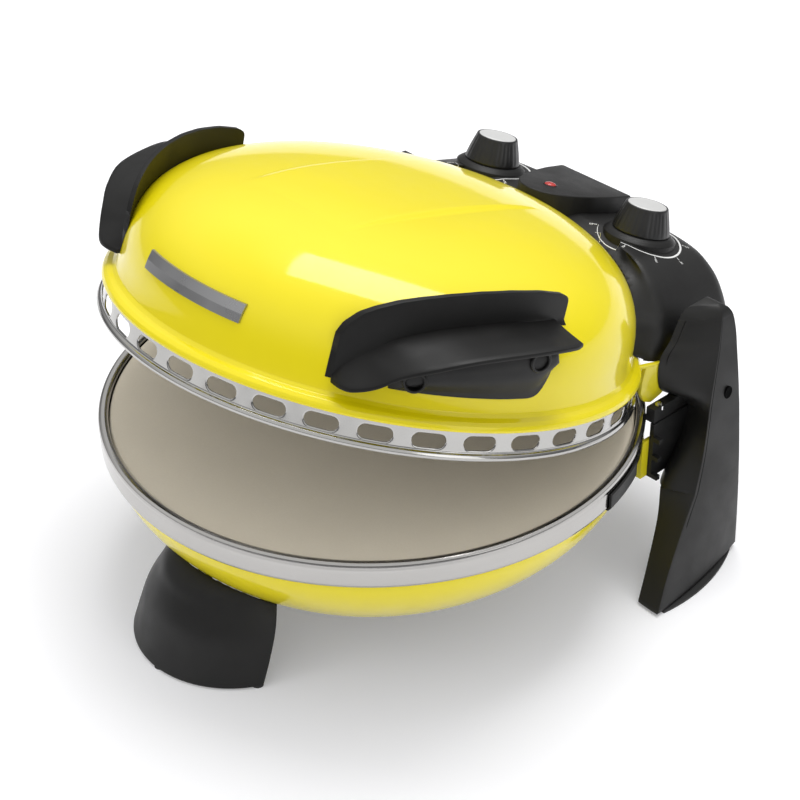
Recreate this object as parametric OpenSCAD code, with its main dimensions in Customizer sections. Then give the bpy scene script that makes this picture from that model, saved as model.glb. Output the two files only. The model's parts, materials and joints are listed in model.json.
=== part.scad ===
// Electric pizza maker: a low round oven with a baking stone in the base,
// a domed lid that carries the control housing at its back, two tall rear
// legs with the lid pivots and one front foot.
// Millimetres, +Z up, front of the oven towards -Y, standing on z = 0.

/* [Base] */
// Height of the rim seam above the table
foot_h = 106; // [102:1:110]
// Outer radius of the steel band round the base
rim_r = 161; // [160.8:0.1:161]
// Radius of the baking stone
stone_r = 154.6; // [150:0.2:154.8]
// Thickness of the baking stone
stone_t = 12; // [8:0.5:12]
// Depth of the painted bowl below the band
bowl_d = 62; // [50:1:64]
// Sheet thickness of the painted bowl
bowl_t = 1.4; // [1:0.1:2]

/* [Lid] */
// Angle that the lid stands open in the stored pose
lid_open = 16.36; // [0:0.01:60]
// Full opening angle of the lid, counted from closed
lid_max = 85; // [60:1:85]
// Height of the lid ring above the seam when the lid is closed
ring_gap = 4.8; // [4.8:0.1:6]
// Radius of the dome wall
dome_r = 149.5; // [149:0.1:150]
// Height of the dome above its shoulder
dome_h = 75.6; // [70:0.2:78]
// Sheet thickness of the dome
dome_t = 1.3; // [1:0.1:1.6]
// Angle between two neighbouring vent slots
slot_pitch = 10.4; // [10.3:0.05:10.5]
// Height of a vent slot
slot_h = 8; // [6:0.5:9]

/* [Pivot] */
// Distance of the lid pivot behind the stone's centre
piv_y = 134.3; // [134:0.1:135]
// Height of the lid pivot above the seam
piv_z = 32.8; // [32.5:0.1:33.5]
// Radius of the pivot pins
pin_r = 3; // [2.5:0.1:3]
// Radial clearance of the pins in the hinge arms
pin_c = 0.06; // [0.03:0.01:0.1]

/* [Controls] */
// Radius of a knob at its cap
knob_r1 = 13; // [11:0.5:14]
// Radius of a knob at its foot
knob_r2 = 17; // [15:0.5:18]
// Height of a knob
knob_h = 16.4; // [14:0.2:18]
// Distance of each knob from the middle plane
knob_x = 62.2; // [58:0.1:64]
// Distance of the knobs behind the lid's centre
knob_y = 148; // [147:0.5:150]
// Radius of the knob shafts
shaft_r = 3; // [2.5:0.1:3.5]
// Radial clearance of the shafts in their bushes
shaft_c = 0.06; // [0.03:0.01:0.1]

/* [Hidden] */
mid_y = 15.32;       // moves the outer box's middle to the origin
panel_z = 76;        // top of the control housing above the lid ring
cap_z = 86.5;        // top of the raised middle panel
arm_x = 118;         // inner face of the hinge arms
arm_t = 3;
leg_in = 121.6;      // inner face of the legs beside the housing
leg_sy = 147;        // screw that holds a leg to its bracket
leg_sz = 8;
e = 0.01;

// ---------- frames ----------
// base pieces are drawn round the stone's centre with z = 0 at the rim seam
module base_frame() { translate([0, -mid_y, foot_h]) children(); }
// lid pieces are drawn with z = 0 at the lower edge of the lid ring
module lid_frame(a = lid_open) {
  base_frame() translate([0, piv_y, piv_z]) rotate([-a, 0, 0])
    translate([0, -piv_y, -piv_z]) translate([0, 0, ring_gap]) children();
}
// a base shape as the lid sees it when the lid is open by a degrees
module from_lid(a) {
  translate([0, 0, -ring_gap]) translate([0, piv_y, piv_z]) rotate([a, 0, 0])
    translate([0, -piv_y, -piv_z]) children();
}
module both_sides() { children(); mirror([1, 0, 0]) children(); }
module slab(lo, hi) { translate(lo) cube(hi - lo); }
lpz = piv_z - ring_gap; // pivot height in the lid frame

// ---------- profiles ----------
function bowl_rad(h) = 157 * pow(1 - pow(h / 100, 1.62), 1 / 1.62);
function bowl_side(o) = [for (h = [0 : 5 : bowl_d]) [bowl_rad(h) - o, -13.1 - h]];
bowl_floor = -13.1 - bowl_d - 2.2;
// outline of the dome, grown outwards by o
function dome_pts(o) = concat(
  [[157.3 + o, 16.5 - o], [157.6 + o, 18], [156.8 + o, 20], [155 + o, 21.7 + o],
   [152.2 + o, 22.8 + o], [150.5 + o, 24.6 + o], [149.7 + o, 28]],
  [for (a = [4 : 5 : 84]) [(dome_r + o) * pow(cos(a), 2 / 3), 19 + (dome_h + o) * pow(sin(a), 2 / 3)]],
  [[0, 19 + dome_h + o]]);
module dome_solid(o) {
  rotate_extrude($fn = 128) polygon(concat(dome_pts(o), [[0, 16.5 - o]]));
}
function dome_z(r) = 19 + dome_h * pow(1 - pow(r / dome_r, 3), 1 / 3);

// ---------- base ----------
module base_bowl() {
  color([0.95, 0.85, 0.03]) base_frame() difference() {
    rotate_extrude($fn = 128) polygon(concat(
      [[150, -13.1]], bowl_side(0), [[98, bowl_floor], [0, bowl_floor], [0, bowl_floor + bowl_t]],
      [[97, bowl_floor + bowl_t]],
      [for (i = [len(bowl_side(0)) - 1 : -1 : 1]) bowl_side(bowl_t)[i]],
      [[155.4, -14.5], [150, -14.5]]));
    // holes for the front foot's screws
    for (x = [-20, 20]) translate([x, -118, -90]) cylinder(r = 2.1, h = 40, $fn = 32);
    // steam and cooling holes in the floor
    for (a = [0 : 45 : 315]) rotate(a) translate([60, 0, -90]) cylinder(r = 3, h = 30, $fn = 32);
  }
}
module steel_rim() {
  color([0.78, 0.78, 0.8]) base_frame() rotate_extrude($fn = 128)
    polygon([[155.3, 0.7], [155.2, 2.5], [156.2, 3.7], [158.3, 4.3], [160.3, 3.8], [161.3, 2.3],
      [rim_r, 0], [rim_r, -10], [160.2, -11.6], [150, -11.6], [150, -10.6], [159.4, -10.6],
      [159.8, -9.6], [159.8, -0.2], [158.6, 0.7]]);
}
module baking_stone() {
  color([0.9, 0.87, 0.78]) base_frame() rotate_extrude($fn = 128)
    polygon([[0, 1.5], [stone_r - 1.2, 1.5], [stone_r, 0.4], [stone_r, 1.5 - stone_t + 0.9],
      [stone_r - 1, 1.4 - stone_t], [0, 1.4 - stone_t]]);
}
module lower_reflector() {
  color([0.72, 0.72, 0.72]) base_frame() difference() {
    rotate_extrude($fn = 128) polygon([[152.5, -11.8], [152.5, -13], [146.6, -13], [139, -38],
      [0, -38], [0, -37], [138.2, -37], [145.8, -11.8]]);
    for (x = [-14, 14]) translate([x, 110, -45]) cylinder(r = 4.2, h = 12, $fn = 32);
    for (a = [30, 150, 270]) rotate(a) translate([90, 0, -45]) cylinder(r = 1.6, h = 12, $fn = 24);
  }
}
// one heating loop of tube radius t, with two cold ends that stand up or down by leg
module heating_loop(ro, t, leg) {
  g = asin(14 / ro);
  rotate(90 + g) rotate_extrude(angle = 360 - 2 * g, $fn = 96) translate([ro, 0]) circle(r = t, $fn = 24);
  for (x = [-14, 14]) translate([x, ro * cos(g), 0]) {
    sphere(r = t + 0.25, $fn = 32);
    if (leg > 0) cylinder(r = t, h = leg, $fn = 24); else translate([0, 0, leg]) cylinder(r = t, h = -leg, $fn = 24);
  }
}
module lower_element() {
  color([0.3, 0.3, 0.31]) base_frame() translate([0, 0, -25]) {
    heating_loop(110.9, 3.2, -24);
  }
}
module element_clips_lower() {
  color([0.7, 0.7, 0.7]) base_frame() for (a = [30, 150, 270]) rotate(a) {
    // a saddle over the tube with a foot that is riveted to the pan
    difference() {
      slab([104, -5, -36.95], [117, 5, -20.5]);
      translate([110.9, 10, -25]) rotate([90, 0, 0]) cylinder(r = 3.8, h = 20, $fn = 32);
      slab([105.5, -6, -37.5], [115.5, 6, -25]);
      slab([107.1, -6, -37.5], [114.7, 6, -25 + e]);
    }
    slab([84, -5, -36.95], [104, 5, -35.9]);
    translate([90, 0, -41]) cylinder(r = 1.5, h = 6, $fn = 24);
  }
}
module lower_terminals() {
  color([0.93, 0.92, 0.88]) base_frame() for (x = [-14, 14]) translate([x, 110, -44]) difference() {
    union() { cylinder(r = 4.1, h = 8, $fn = 32); cylinder(r = 6.5, h = 5.6, $fn = 32); }
    translate([0, 0, -1]) cylinder(r = 3.3, h = 12, $fn = 32);
  }
}
module thermal_fuse() {
  color([0.85, 0.85, 0.82]) base_frame() {
    translate([-12, 60, -42]) rotate([0, 90, 0]) cylinder(r = 3.9, h = 24, $fn = 32);
    slab([-10, 55.5, -46.5], [10, 64.5, -44.8]);
  }
}
module rim_clamps() {
  color([0.08, 0.08, 0.08]) base_frame() both_sides() rotate([0, 0, 12]) difference() {
    rotate_extrude(angle = 13, $fn = 96) polygon([[161.35, -1], [162.8, -1.6], [162.8, -10.6],
      [161, -13.1], [157.4, -13.1], [157.4, -11.9], [160.4, -11.9], [161.35, -10.2]]);
  }
}
module hinge_lugs() {
  color([0.9, 0.8, 0.04]) base_frame() both_sides() {
    // sheet lug welded to the bowl, standing out to the leg bracket
    difference() {
      slab([112, 98.5, -40], [126.8, 100.9, -14]);
      translate([0, 0, -60]) rotate_extrude($fn = 96) polygon([[0, 0], [bowl_rad(39) + 0.9, 7.9], [bowl_rad(20) + 0.9, 26.9], [bowl_rad(5) + 0.9, 41.9], [157.9, 46.9], [157.9, 60], [0, 60]]);
    }
    slab([124.4, 100.9, -40], [126.8, 118, -14]);
  }
}
module leg_bracket() {
  difference() {
    union() {
      // cheek that runs from the bowl's lug into the leg
      slab([126.9, 104, -40], [129.9, 150, -2]);
      // ribs that stand out in front of the leg
      for (z = [-40, -27, -14]) slab([129.8, 104, z], [134.5, 107, z + 3]);
      // block inside the leg that takes the screw
      intersection() {
        slab([129.8, 141.5, -38], [150, 152, 16]);
        leg_hollow(0.1);
      }
    }
    translate([130, leg_sy, leg_sz]) rotate([0, 90, 0]) cylinder(r = 2.2, h = 30, $fn = 32);
    slab([120, 100, -2.2], [129.95, 130.4, 8]);
  }
}
module leg_bracket_right() { color([0.05, 0.05, 0.05]) base_frame() leg_bracket(); }
module leg_bracket_left() { color([0.05, 0.05, 0.05]) base_frame() mirror([1, 0, 0]) leg_bracket(); }
module hinge_plate() {
  difference() {
    slab([122.8, 104.4, -1.9], [129, 123.2, 7.4]);
    translate([126.3, 112, -5]) cylinder(r = 1.7, h = 20, $fn = 32);
    translate([126.3, 112, 4.6]) cylinder(r = 3, h = 10, $fn = 32);
  }
}
module hinge_plate_right() { color([0.04, 0.04, 0.04]) base_frame() hinge_plate(); }
module hinge_plate_left() { color([0.04, 0.04, 0.04]) base_frame() mirror([1, 0, 0]) hinge_plate(); }
module hinge_screws() {
  color([0.8, 0.8, 0.82]) base_frame() both_sides() translate([126.3, 112, 0]) difference() {
    union() {
      translate([0, 0, -1.9]) cylinder(r = 1.6, h = 7, $fn = 32);
      translate([0, 0, 4.65]) cylinder(r = 2.8, h = 2.6, $fn = 32);
    }
    slab([-1.8, -0.4, 6.2], [1.8, 0.4, 8]);
    slab([-0.4, -1.8, 6.2], [0.4, 1.8, 8]);
  }
}
// solid through a stack of plan outlines, each [z, points]
module loft(s) {
  n = len(s[0][1]);
  m = len(s);
  polyhedron([for (q = s) for (p = q[1]) [p[0], p[1], q[0]]],
    concat([[for (i = [0 : n - 1]) i]],
      [for (k = [0 : m - 2]) for (i = [0 : n - 1]) for (t = [0, 1])
        let (a = k * n + i, b = k * n + (i + 1) % n) t == 0 ? [a, a + n, b + n] : [a, b + n, b]],
      [[for (i = [n - 1 : -1 : 0]) (m - 1) * n + i]]), convexity = 6);
}
// plan of a leg by height: z, inner front, middle front and outer front corner, outer rear x, rear y
leg_rows = [
  [-104.2, [152.6, 73], [160, 72.3], [168.9, 72], 156.6, 159.5],
  [-85, [148.5, 84], [156, 83], [165, 82.7], 155.7, 159.5],
  [-61, [142.3, 98], [150, 98.5], [160, 99.9], 154.2, 159.5],
  [-44.6, [136.5, 106], [145, 110], [155.8, 114.5], 152.8, 159.5],
  [-43.6, [leg_in, 131], [136.6, 106.5], [155.6, 115], 152.8, 159.5],
  [-25, [leg_in, 135.5], [137, 122], [152, 123.8], 150.9, 159.5],
  [-5, [leg_in, 137.5], [136, 133], [149.2, 129.3], 148.6, 159.5],
  [4, [leg_in, 128.5], [135, 131], [148, 131.3], 147.3, 159.5],
  [15, [leg_in, 116], [134, 123], [146.3, 134.6], 145.7, 159.5],
  [34, [leg_in, 114.5], [132, 126.5], [142.2, 142.2], 142.4, 159.5],
  [44, [leg_in, 123.5], [131, 133], [140.4, 145.1], 140.6, 159.5],
  [54, [leg_in, 128.3], [130, 137.5], [138.6, 147.5], 138.4, 158.5],
  [59, [leg_in, 132], [129, 141], [136.6, 149.6], 136.2, 156],
  [62, [leg_in, 138], [128, 144.5], [133.5, 150], 133, 153.5]];
// the outline of one row, moved in by t; the inner side moves by i and the rear by r
function leg_plan(q, t, i, r) = [[q[1][0] + i, q[1][1] + t], [q[2][0], q[2][1] + t], [q[3][0] - t, q[3][1] + t],
  [q[3][0] + (q[4] - q[3][0]) / 9 - t, q[3][1] + (q[5] - q[3][1]) / 3 + t / 2],
  [q[3][0] + (q[4] - q[3][0]) * 4 / 9 - t, q[3][1] + (q[5] - q[3][1]) * 2 / 3],
  [q[4] - t, q[5] - r], [(q[1][0] > leg_in ? q[4] - 16 : leg_in) + i, q[5] - r]];
module leg_hollow(g = 0) {
  // above the step the leg is a box open to the rear, below it an open angle
  loft([for (k = [4 : 11]) [k == 4 ? -41 : (k == 11 ? 53.5 - g : leg_rows[k][0]),
    leg_plan(leg_rows[k], 3 + g, 3 + g, -6)]]);
}
module rear_leg() {
  difference() {
    union() {
      difference() {
        loft([for (q = leg_rows) [q[0], leg_plan(q, 0, 0, 0)]]);
        leg_hollow();
        loft([for (k = [0 : 3]) [k == 0 ? -105 : (k == 3 ? -47 : leg_rows[k][0]), leg_plan(leg_rows[k], 3, -6, -6)]]);
      }
      // boss that holds the pivot pin, with a web to the leg's front wall
      translate([leg_in + 0.15, piv_y, piv_z]) rotate([0, 90, 0]) cylinder(r = 8.5, h = 6.4, $fn = 48);
      slab([leg_in + 0.4, 121.6, piv_z - 7], [leg_in + 6, piv_y, piv_z + 1]);
    }
    translate([115, piv_y, piv_z]) rotate([0, 90, 0]) cylinder(r = pin_r, h = 30, $fn = 48);
    // slot for the bracket and hole for its screw
    slab([126.8, 100, -40.1], [130, 145, -1.9]);
    translate([132, leg_sy, leg_sz]) rotate([0, 90, 0]) cylinder(r = 2.2, h = 30, $fn = 32);
  }
}
module rear_leg_right() { color([0.07, 0.07, 0.07]) base_frame() rear_leg(); }
module rear_leg_left() { color([0.07, 0.07, 0.07]) base_frame() mirror([1, 0, 0]) rear_leg(); }
module leg_pads() {
  color([0.12, 0.12, 0.12]) base_frame() both_sides() intersection() {
    translate([48, 98, -106]) difference() {
      cylinder(r = 122.6, h = 1.8, $fn = 128);
      translate([0, 0, -1]) cylinder(r = 117, h = 4, $fn = 128);
    }
    slab([140, 78, -107], [180, 154, -104.2]);
  }
}
module leg_screws() {
  color([0.2, 0.2, 0.2]) base_frame() both_sides() translate([134, leg_sy, leg_sz]) rotate([0, 90, 0])
    cylinder(r = 2.15, h = 12.2, $fn = 32);
}
module pivot_pin() {
  translate([114.6, piv_y, piv_z]) rotate([0, 90, 0]) {
    cylinder(r = pin_r, h = 13.4, $fn = 48);
    translate([0, 0, -2.2]) cylinder(r = 6.2, h = 2.4, $fn = 48);
  }
}
module pivot_pin_right() { color([0.7, 0.7, 0.72]) base_frame() pivot_pin(); }
module pivot_pin_left() { color([0.7, 0.7, 0.72]) base_frame() mirror([1, 0, 0]) pivot_pin(); }

// ---------- front foot ----------
module foot_form(o) {
  // flared half cone, leaning from under the bowl out to the table
  hull() {
    translate([0, -110, -104.5]) cylinder(r = 61 - o, h = 0.6, $fn = 48);
    translate([0, -112, -75 - o]) cylinder(r = 50 - o, h = 0.5, $fn = 48);
    translate([0, -110, -52 - o]) cylinder(r = 37 - o, h = 0.5, $fn = 48);
    translate([0, -100, -40 - o]) cylinder(r = 26 - o, h = 0.5, $fn = 48);
  }
}
module foot_cut(o) {
  // everything that the foot has to leave free: the bowl and the open rear
  translate([0, 0, -106]) rotate_extrude($fn = 128) polygon(concat(
    [[0, 106 + bowl_floor - o]], [[98 + o, 106 + bowl_floor - o]],
    [for (i = [len(bowl_side(0)) - 1 : -1 : 0]) [bowl_side(0)[i][0] + o, 106 + bowl_side(0)[i][1]]],
    [[157.1 + o, 106], [0, 106]]));
}
module foot_back() {
  // the foot is open behind this slanted plane
  rotate([90, 0, 90]) linear_extrude(height = 200, center = true)
    polygon([[-133, -107], [-108, -58], [-108, -20], [0, -20], [0, -107]]);
}
module front_foot() {
  color([0.07, 0.07, 0.07]) base_frame() difference() {
    union() {
      difference() {
        foot_form(0);
        translate([0, 0, -0.2]) foot_form(2.6);
        foot_back();
      }
      for (x = [-20, 20]) {
        translate([x, -118, -86]) cylinder(r = 5.5, h = 40, $fn = 32);
        intersection() { slab([x - 1.5, -160, -86], [x + 1.5, -118, -40]); foot_form(1); }
      }
    }
    foot_cut(0.05);
    for (x = [-20, 20]) {
      translate([x, -118, -110]) cylinder(r = 2.2, h = 60, $fn = 32);
      translate([x, -118, -110]) cylinder(r = 4, h = 28, $fn = 32);
    }
  }
}
module front_foot_pads() {
  color([0.12, 0.12, 0.12]) base_frame() for (a = [208, 270, 332])
    translate([0, -110, -106]) rotate(a) translate([57.3, 0, 0]) cylinder(r = 3.5, h = 1.5, $fn = 32);
}
module foot_screws() {
  color([0.7, 0.7, 0.7]) base_frame() for (x = [-20, 20]) translate([x, -118, -84.8]) {
    cylinder(r = 2, h = 30, $fn = 24);
    cylinder(r = 3.6, h = 2.7, $fn = 24);
  }
}

// ---------- lid ----------
module lid_shell() {
  color([0.96, 0.86, 0.03]) lid_frame() difference() {
    rotate_extrude($fn = 128) polygon(concat(
      [[156.1, 16.5]], dome_pts(0),
      [[0, 19 + dome_h - dome_t]],
      [for (a = [84 : -5 : 4]) [(dome_r - dome_t) * pow(cos(a), 2 / 3), 19 + (dome_h - dome_t) * pow(sin(a), 2 / 3)]],
      [[148.4, 28], [149.1, 24], [151.6, 21.5], [154.3, 20.4], [155.9, 18.9]]));
    // holes for the handle screws
    both_sides() for (s = [[-38, 40.5], [-13, 56]]) rotate(s[0]) translate([130, 0, s[1]])
      rotate([0, 90, 0]) cylinder(r = 1.8, h = 30, $fn = 24);
    // passage for the wiring and the sensing tube behind the dome
    for (x = [-30, 30]) translate([x, 120, 60]) rotate([-90, 0, 0]) cylinder(r = 5, h = 40, $fn = 32);
  }
}
module lid_slotted_ring() {
  color([0.75, 0.75, 0.77]) lid_frame() difference() {
    rotate_extrude($fn = 128) polygon([[154.7, 1.2], [154.7, 17.6], [155.7, 17.6], [155.7, 4.2],
      [157.4, 3.6], [158.15, 2.1], [157.6, 0.6], [156.3, 0], [155.2, 0.2]]);
    // open behind, between the hinge arms
    linear_extrude(height = 60, center = true) polygon([[0, 0], [141, 194.1], [-141, 194.1]]);
    for (k = [0 : 12]) for (s = [-1, 1]) rotate(-90 + s * slot_pitch * (k + 0.5)) {
      slab([150, -5.2, 9.8 - slot_h / 2], [160, 5.2, 9.8 + slot_h / 2]);
      for (y = [-5.2, 5.2]) translate([150, y, 9.8]) rotate([0, 90, 0]) cylinder(r = slot_h / 2, h = 10, $fn = 32);
    }
  }
}
module upper_reflector() {
  color([0.72, 0.72, 0.72]) lid_frame() difference() {
    rotate_extrude($fn = 128) polygon([[148.1, 18.6], [148.1, 19.6], [146.3, 19.6], [137, 46],
      [0, 46], [0, 45.1], [136.3, 45.1], [145.7, 18.6]]);
    for (x = [-14, 14]) translate([x, 110, 40]) cylinder(r = 4.2, h = 12, $fn = 32);
    for (a = [30, 150, 270]) rotate(a) translate([90, 0, 40]) cylinder(r = 1.6, h = 12, $fn = 24);
    translate([-30, 100, 40]) cylinder(r = 3.2, h = 12, $fn = 32);
  }
}
module lid_insulation() {
  color([0.88, 0.86, 0.78]) lid_frame() difference() {
    rotate_extrude($fn = 96) polygon([[0, 49.5], [128, 49.5], [124, 64], [0, 66]]);
    slab([-45, 84, 48], [45, 130, 70]);
  }
}
module upper_element() {
  color([0.3, 0.3, 0.31]) lid_frame() translate([0, 0, 28]) {
    heating_loop(110.9, 3.2, 28);
  }
}
module element_clips_upper() {
  color([0.7, 0.7, 0.7]) lid_frame() for (a = [30, 150, 270]) rotate(a) {
    difference() {
      slab([104, -5, 23.5], [117, 5, 45.05]);
      translate([110.9, 10, 28]) rotate([90, 0, 0]) cylinder(r = 3.8, h = 20, $fn = 32);
      slab([105.5, -6, 28], [115.5, 6, 46]);
      slab([107.1, -6, 28 - e], [114.7, 6, 46]);
    }
    slab([84, -5, 44], [104, 5, 45.05]);
    translate([90, 0, 43]) cylinder(r = 1.5, h = 6, $fn = 24);
  }
}
module upper_terminals() {
  color([0.93, 0.92, 0.88]) lid_frame() for (x = [-14, 14]) translate([x, 110, 43]) difference() {
    union() { cylinder(r = 4.1, h = 8, $fn = 32); translate([0, 0, 3.05]) cylinder(r = 6.5, h = 6, $fn = 32); }
    translate([0, 0, -1]) cylinder(r = 3.3, h = 12, $fn = 32);
  }
}
module hinge_arm() {
  difference() {
    union() {
      difference() {
        union() {
          translate([arm_x, piv_y, lpz]) rotate([0, 90, 0]) cylinder(r = 13, h = arm_t, $fn = 64);
          intersection() {
            translate([arm_x, piv_y, lpz]) rotate([0, 90, 0]) cylinder(r = 32.5, h = arm_t, $fn = 64);
            slab([arm_x, 104, -10], [arm_x + arm_t, piv_y, lpz - 6.4]);
          }
          slab([arm_x, 92, lpz - 8.6], [arm_x + arm_t, piv_y, lpz - 6.4]);
        }
        dome_solid(0.05);
      }
      // bush round the pin
      translate([arm_x - 1.6, piv_y, lpz]) rotate([0, 90, 0]) cylinder(r = 8, h = arm_t + 1.9, $fn = 48);
    }
    translate([arm_x - 5, piv_y, lpz]) rotate([0, 90, 0]) cylinder(r = pin_r + pin_c, h = 20, $fn = 48);
  }
}
module hinge_arm_right() { color([0.88, 0.78, 0.04]) lid_frame() hinge_arm(); }
module hinge_arm_left() { color([0.88, 0.78, 0.04]) lid_frame() mirror([1, 0, 0]) hinge_arm(); }

// ---------- handles ----------
// stations along the shelf: inner point at the fin, then outer point
shelf = [[[87.4, -119.6, 34], [89.7, -121.6, 32.4]], [[92.5, -113.5, 44.5], [105.9, -121.3, 33.7]],
  [[97.1, -107.4, 50], [124.1, -108, 46.4]], [[104.8, -96, 58.5], [136, -97, 53.9]],
  [[116, -75, 65.5], [148.1, -79, 61.4]], [[126.1, -47, 69.5], [159.9, -44, 66.7]],
  [[132.3, -9, 70], [158.5, -14, 67]]];
module shelf_end(s) {
  for (p = s) translate([p[0] - 0.6, p[1] - 0.6, p[2] - 3.2]) cube([1.2, 1.2, 3.2]);
}
module handle() {
  difference() {
    union() {
      // upright guard along the dome
      intersection() {
        translate([-52, 1.4, 0]) difference() {
          cylinder(r = 186, h = 120, $fn = 180);
          translate([0, 0, -1]) cylinder(r = 183, h = 130, $fn = 180);
        }
        rotate([90, 0, 90]) linear_extrude(height = 200) polygon([[-120.5, 31.5], [-113, 43], [-107, 49],
          [-97, 56.6], [-76, 63.4], [-48, 66.5], [-2, 66.5], [-2, 80.5], [-3.2, 82.2], [-7, 83.7],
          [-23, 86], [-42, 86.5], [-59, 85.6], [-75, 83.4], [-88.5, 80.4], [-98, 77.4],
          [-107, 72.9], [-113, 68.7], [-118, 62.1], [-120.3, 56]]);
      }
      // sloping grip
      for (i = [0 : 5]) hull() { shelf_end(shelf[i]); shelf_end(shelf[i + 1]); }
    }
    dome_solid(0.3);
  }
}
module handle_right() { color([0.05, 0.05, 0.05]) lid_frame() handle(); }
module handle_left() { color([0.05, 0.05, 0.05]) lid_frame() mirror([1, 0, 0]) handle(); }
module handle_base() {
  difference() {
    intersection() {
      rotate(-46) rotate_extrude(angle = 40, $fn = 128) translate([140, 30]) square([15.5, 40]);
      rotate([90, 0, 90]) linear_extrude(height = 200) polygon([[-101, 33], [-99, 42.5], [-90, 48.5],
        [-75, 53.5], [-45, 60], [-16.5, 61.5], [-15.5, 54], [-28, 33]]);
    }
    dome_solid(0.02);
    // the guard and the grip pass over it
    translate([-52, 1.4, 30]) difference() {
      cylinder(r = 186.1, h = 50, $fn = 180);
      translate([0, 0, -1]) cylinder(r = 182.9, h = 60, $fn = 180);
    }
    for (s = [[-38, 40.5], [-13, 56]]) rotate(s[0]) translate([130, 0, s[1]]) rotate([0, 90, 0]) {
      cylinder(r = 2.2, h = 40, $fn = 24);
      translate([0, 0, 22.6]) cylinder(r = 4.4, h = 20, $fn = 32);
    }
  }
}
module handle_base_right() { color([0.06, 0.06, 0.06]) lid_frame() handle_base(); }
module handle_base_left() { color([0.06, 0.06, 0.06]) lid_frame() mirror([1, 0, 0]) handle_base(); }
module handle_screws() {
  color([0.15, 0.15, 0.15]) lid_frame() both_sides() for (s = [[-38, 40.5], [-13, 56]])
    rotate(s[0]) translate([130, 0, s[1]]) rotate([0, 90, 0]) {
      translate([0, 0, 10]) cylinder(r = 1.7, h = 14, $fn = 24);
      translate([0, 0, 22.7]) cylinder(r = 3.9, h = 2, $fn = 32);
    }
}
module front_badge() {
  color([0.75, 0.75, 0.77]) lid_frame() intersection() {
    difference() { dome_solid(1.3); dome_solid(0.03); }
    slab([-39, -160, 44], [39, -100, 54]);
  }
}

// ---------- control housing ----------
// plan of the housing with its front edge at y = f, half width w and rear inset b
function half_plan(f, w, b) = [[w, 152], [w - 0.6, 182.8 - b], [w - 2.4, 187.7 - b], [w - 6, 190.9 - b],
  [w - 12, 193 - b], [w - 24, 194.6 - b], [w - 40, 195.4 - b]];
module house_plan(f, w, b) {
  h = half_plan(f, w, b);
  g = f + min(24, (122 - f) * 0.9);
  polygon(concat([[-w + 8, f], [w - 8, f], [w, max(g, f + 8)]], h, [[0, 195.8 - b]],
    [for (i = [len(h) - 1 : -1 : 0]) [-h[i][0], h[i][1]]], [[-w, max(g, f + 8)]]));
}
module house_form(o) {
  s = [[21, 95, 119.4, 1], [45, 97, 116, 3], [58, 107, 109, 5], [66, 116, 100, 7], [72, 126, 90, 10],
    [panel_z, 137, 75, 15]];
  hull() for (q = s) translate([0, 0, q[0] - (q[0] > 60 ? o : 0) - (q[0] < 30 ? o : 0)])
    linear_extrude(height = 0.02) house_plan(q[1] + o, q[2] - o, q[3] + o);
}
// room for a hinge arm and its pin beside the housing
module arm_room() {
  translate([arm_x - 0.3, piv_y, lpz]) rotate([0, 90, 0]) {
    cylinder(r = 20.5, h = 20, $fn = 64);
    translate([0, 0, -3]) cylinder(r = 8.6, h = 20, $fn = 48);
    translate([0, 0, -6.4]) cylinder(r = 7, h = 20, $fn = 48);
  }
  intersection() {
    translate([arm_x - 0.3, piv_y, lpz]) rotate([0, 90, 0]) cylinder(r = 33, h = 20, $fn = 64);
    slab([arm_x - 0.3, 90, -10], [arm_x + 20, piv_y, lpz + 12.5]);
  }
  slab([arm_x - 0.3, 80, lpz - 2.5], [arm_x + 20, piv_y, lpz + 12.5]);
}
// room for the base when the lid is fully up
module base_room(r) {
  from_lid(lid_max) translate([0, 0, -110]) cylinder(r = r, h = 118, $fn = 180);
}
module control_housing() {
  color([0.07, 0.07, 0.07]) lid_frame() difference() {
    house_form(0);
    difference() {
      house_form(2.6);
      dome_solid(3);
    }
    dome_solid(0.4);
    base_room(166.6);
    // free of the dome's flange below and of the base behind the pivots
    translate([0, 0, 0]) cylinder(r = 158.4, h = 24.5, $fn = 128);
    slab([-140, 151, 0], [140, 200, 30]);
    for (x = [-knob_x, knob_x]) translate([x, knob_y, 60]) cylinder(r = 5.2, h = 30, $fn = 32);
    translate([0, 132.2, 60]) cylinder(r = 6, h = 30, $fn = 32);
    both_sides() arm_room();
    // seat of the cord gland in the rear wall
    translate([80, 0, 50]) rotate([-90, 0, 0]) {
      cylinder(r = 5.6, h = 220, $fn = 32);
      cylinder(r = 7.8, h = 189, $fn = 32);
      translate([0, 0, 191.5]) cylinder(r = 7.8, h = 20, $fn = 32);
    }
  }
}
module housing_base_cover() {
  color([0.09, 0.09, 0.09]) lid_frame() difference() {
    intersection() {
      house_form(2.8);
      difference() { base_room(166.4); base_room(164.2); }
    }
    dome_solid(3.2);
    translate([0, 0, 0]) cylinder(r = 158.8, h = 30, $fn = 128);
    slab([-140, 80, 0], [140, 200, 30.4]);
    both_sides() arm_room();
  }
}
module centre_plan(o) {
  polygon([[-29 + o, 177 - o], [-27.6 + o, 160], [-25 + o, 145], [-21 + o, 131.5], [-16 + o * 0.8, 120.5 + o * 0.4],
    [-9 + o * 0.5, 113.6 + o * 0.8], [0, 111.4 + o], [9 - o * 0.5, 113.6 + o * 0.8], [16 - o * 0.8, 120.5 + o * 0.4],
    [21 - o, 131.5], [25 - o, 145], [27.6 - o, 160], [29 - o, 177 - o]]);
}
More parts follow.
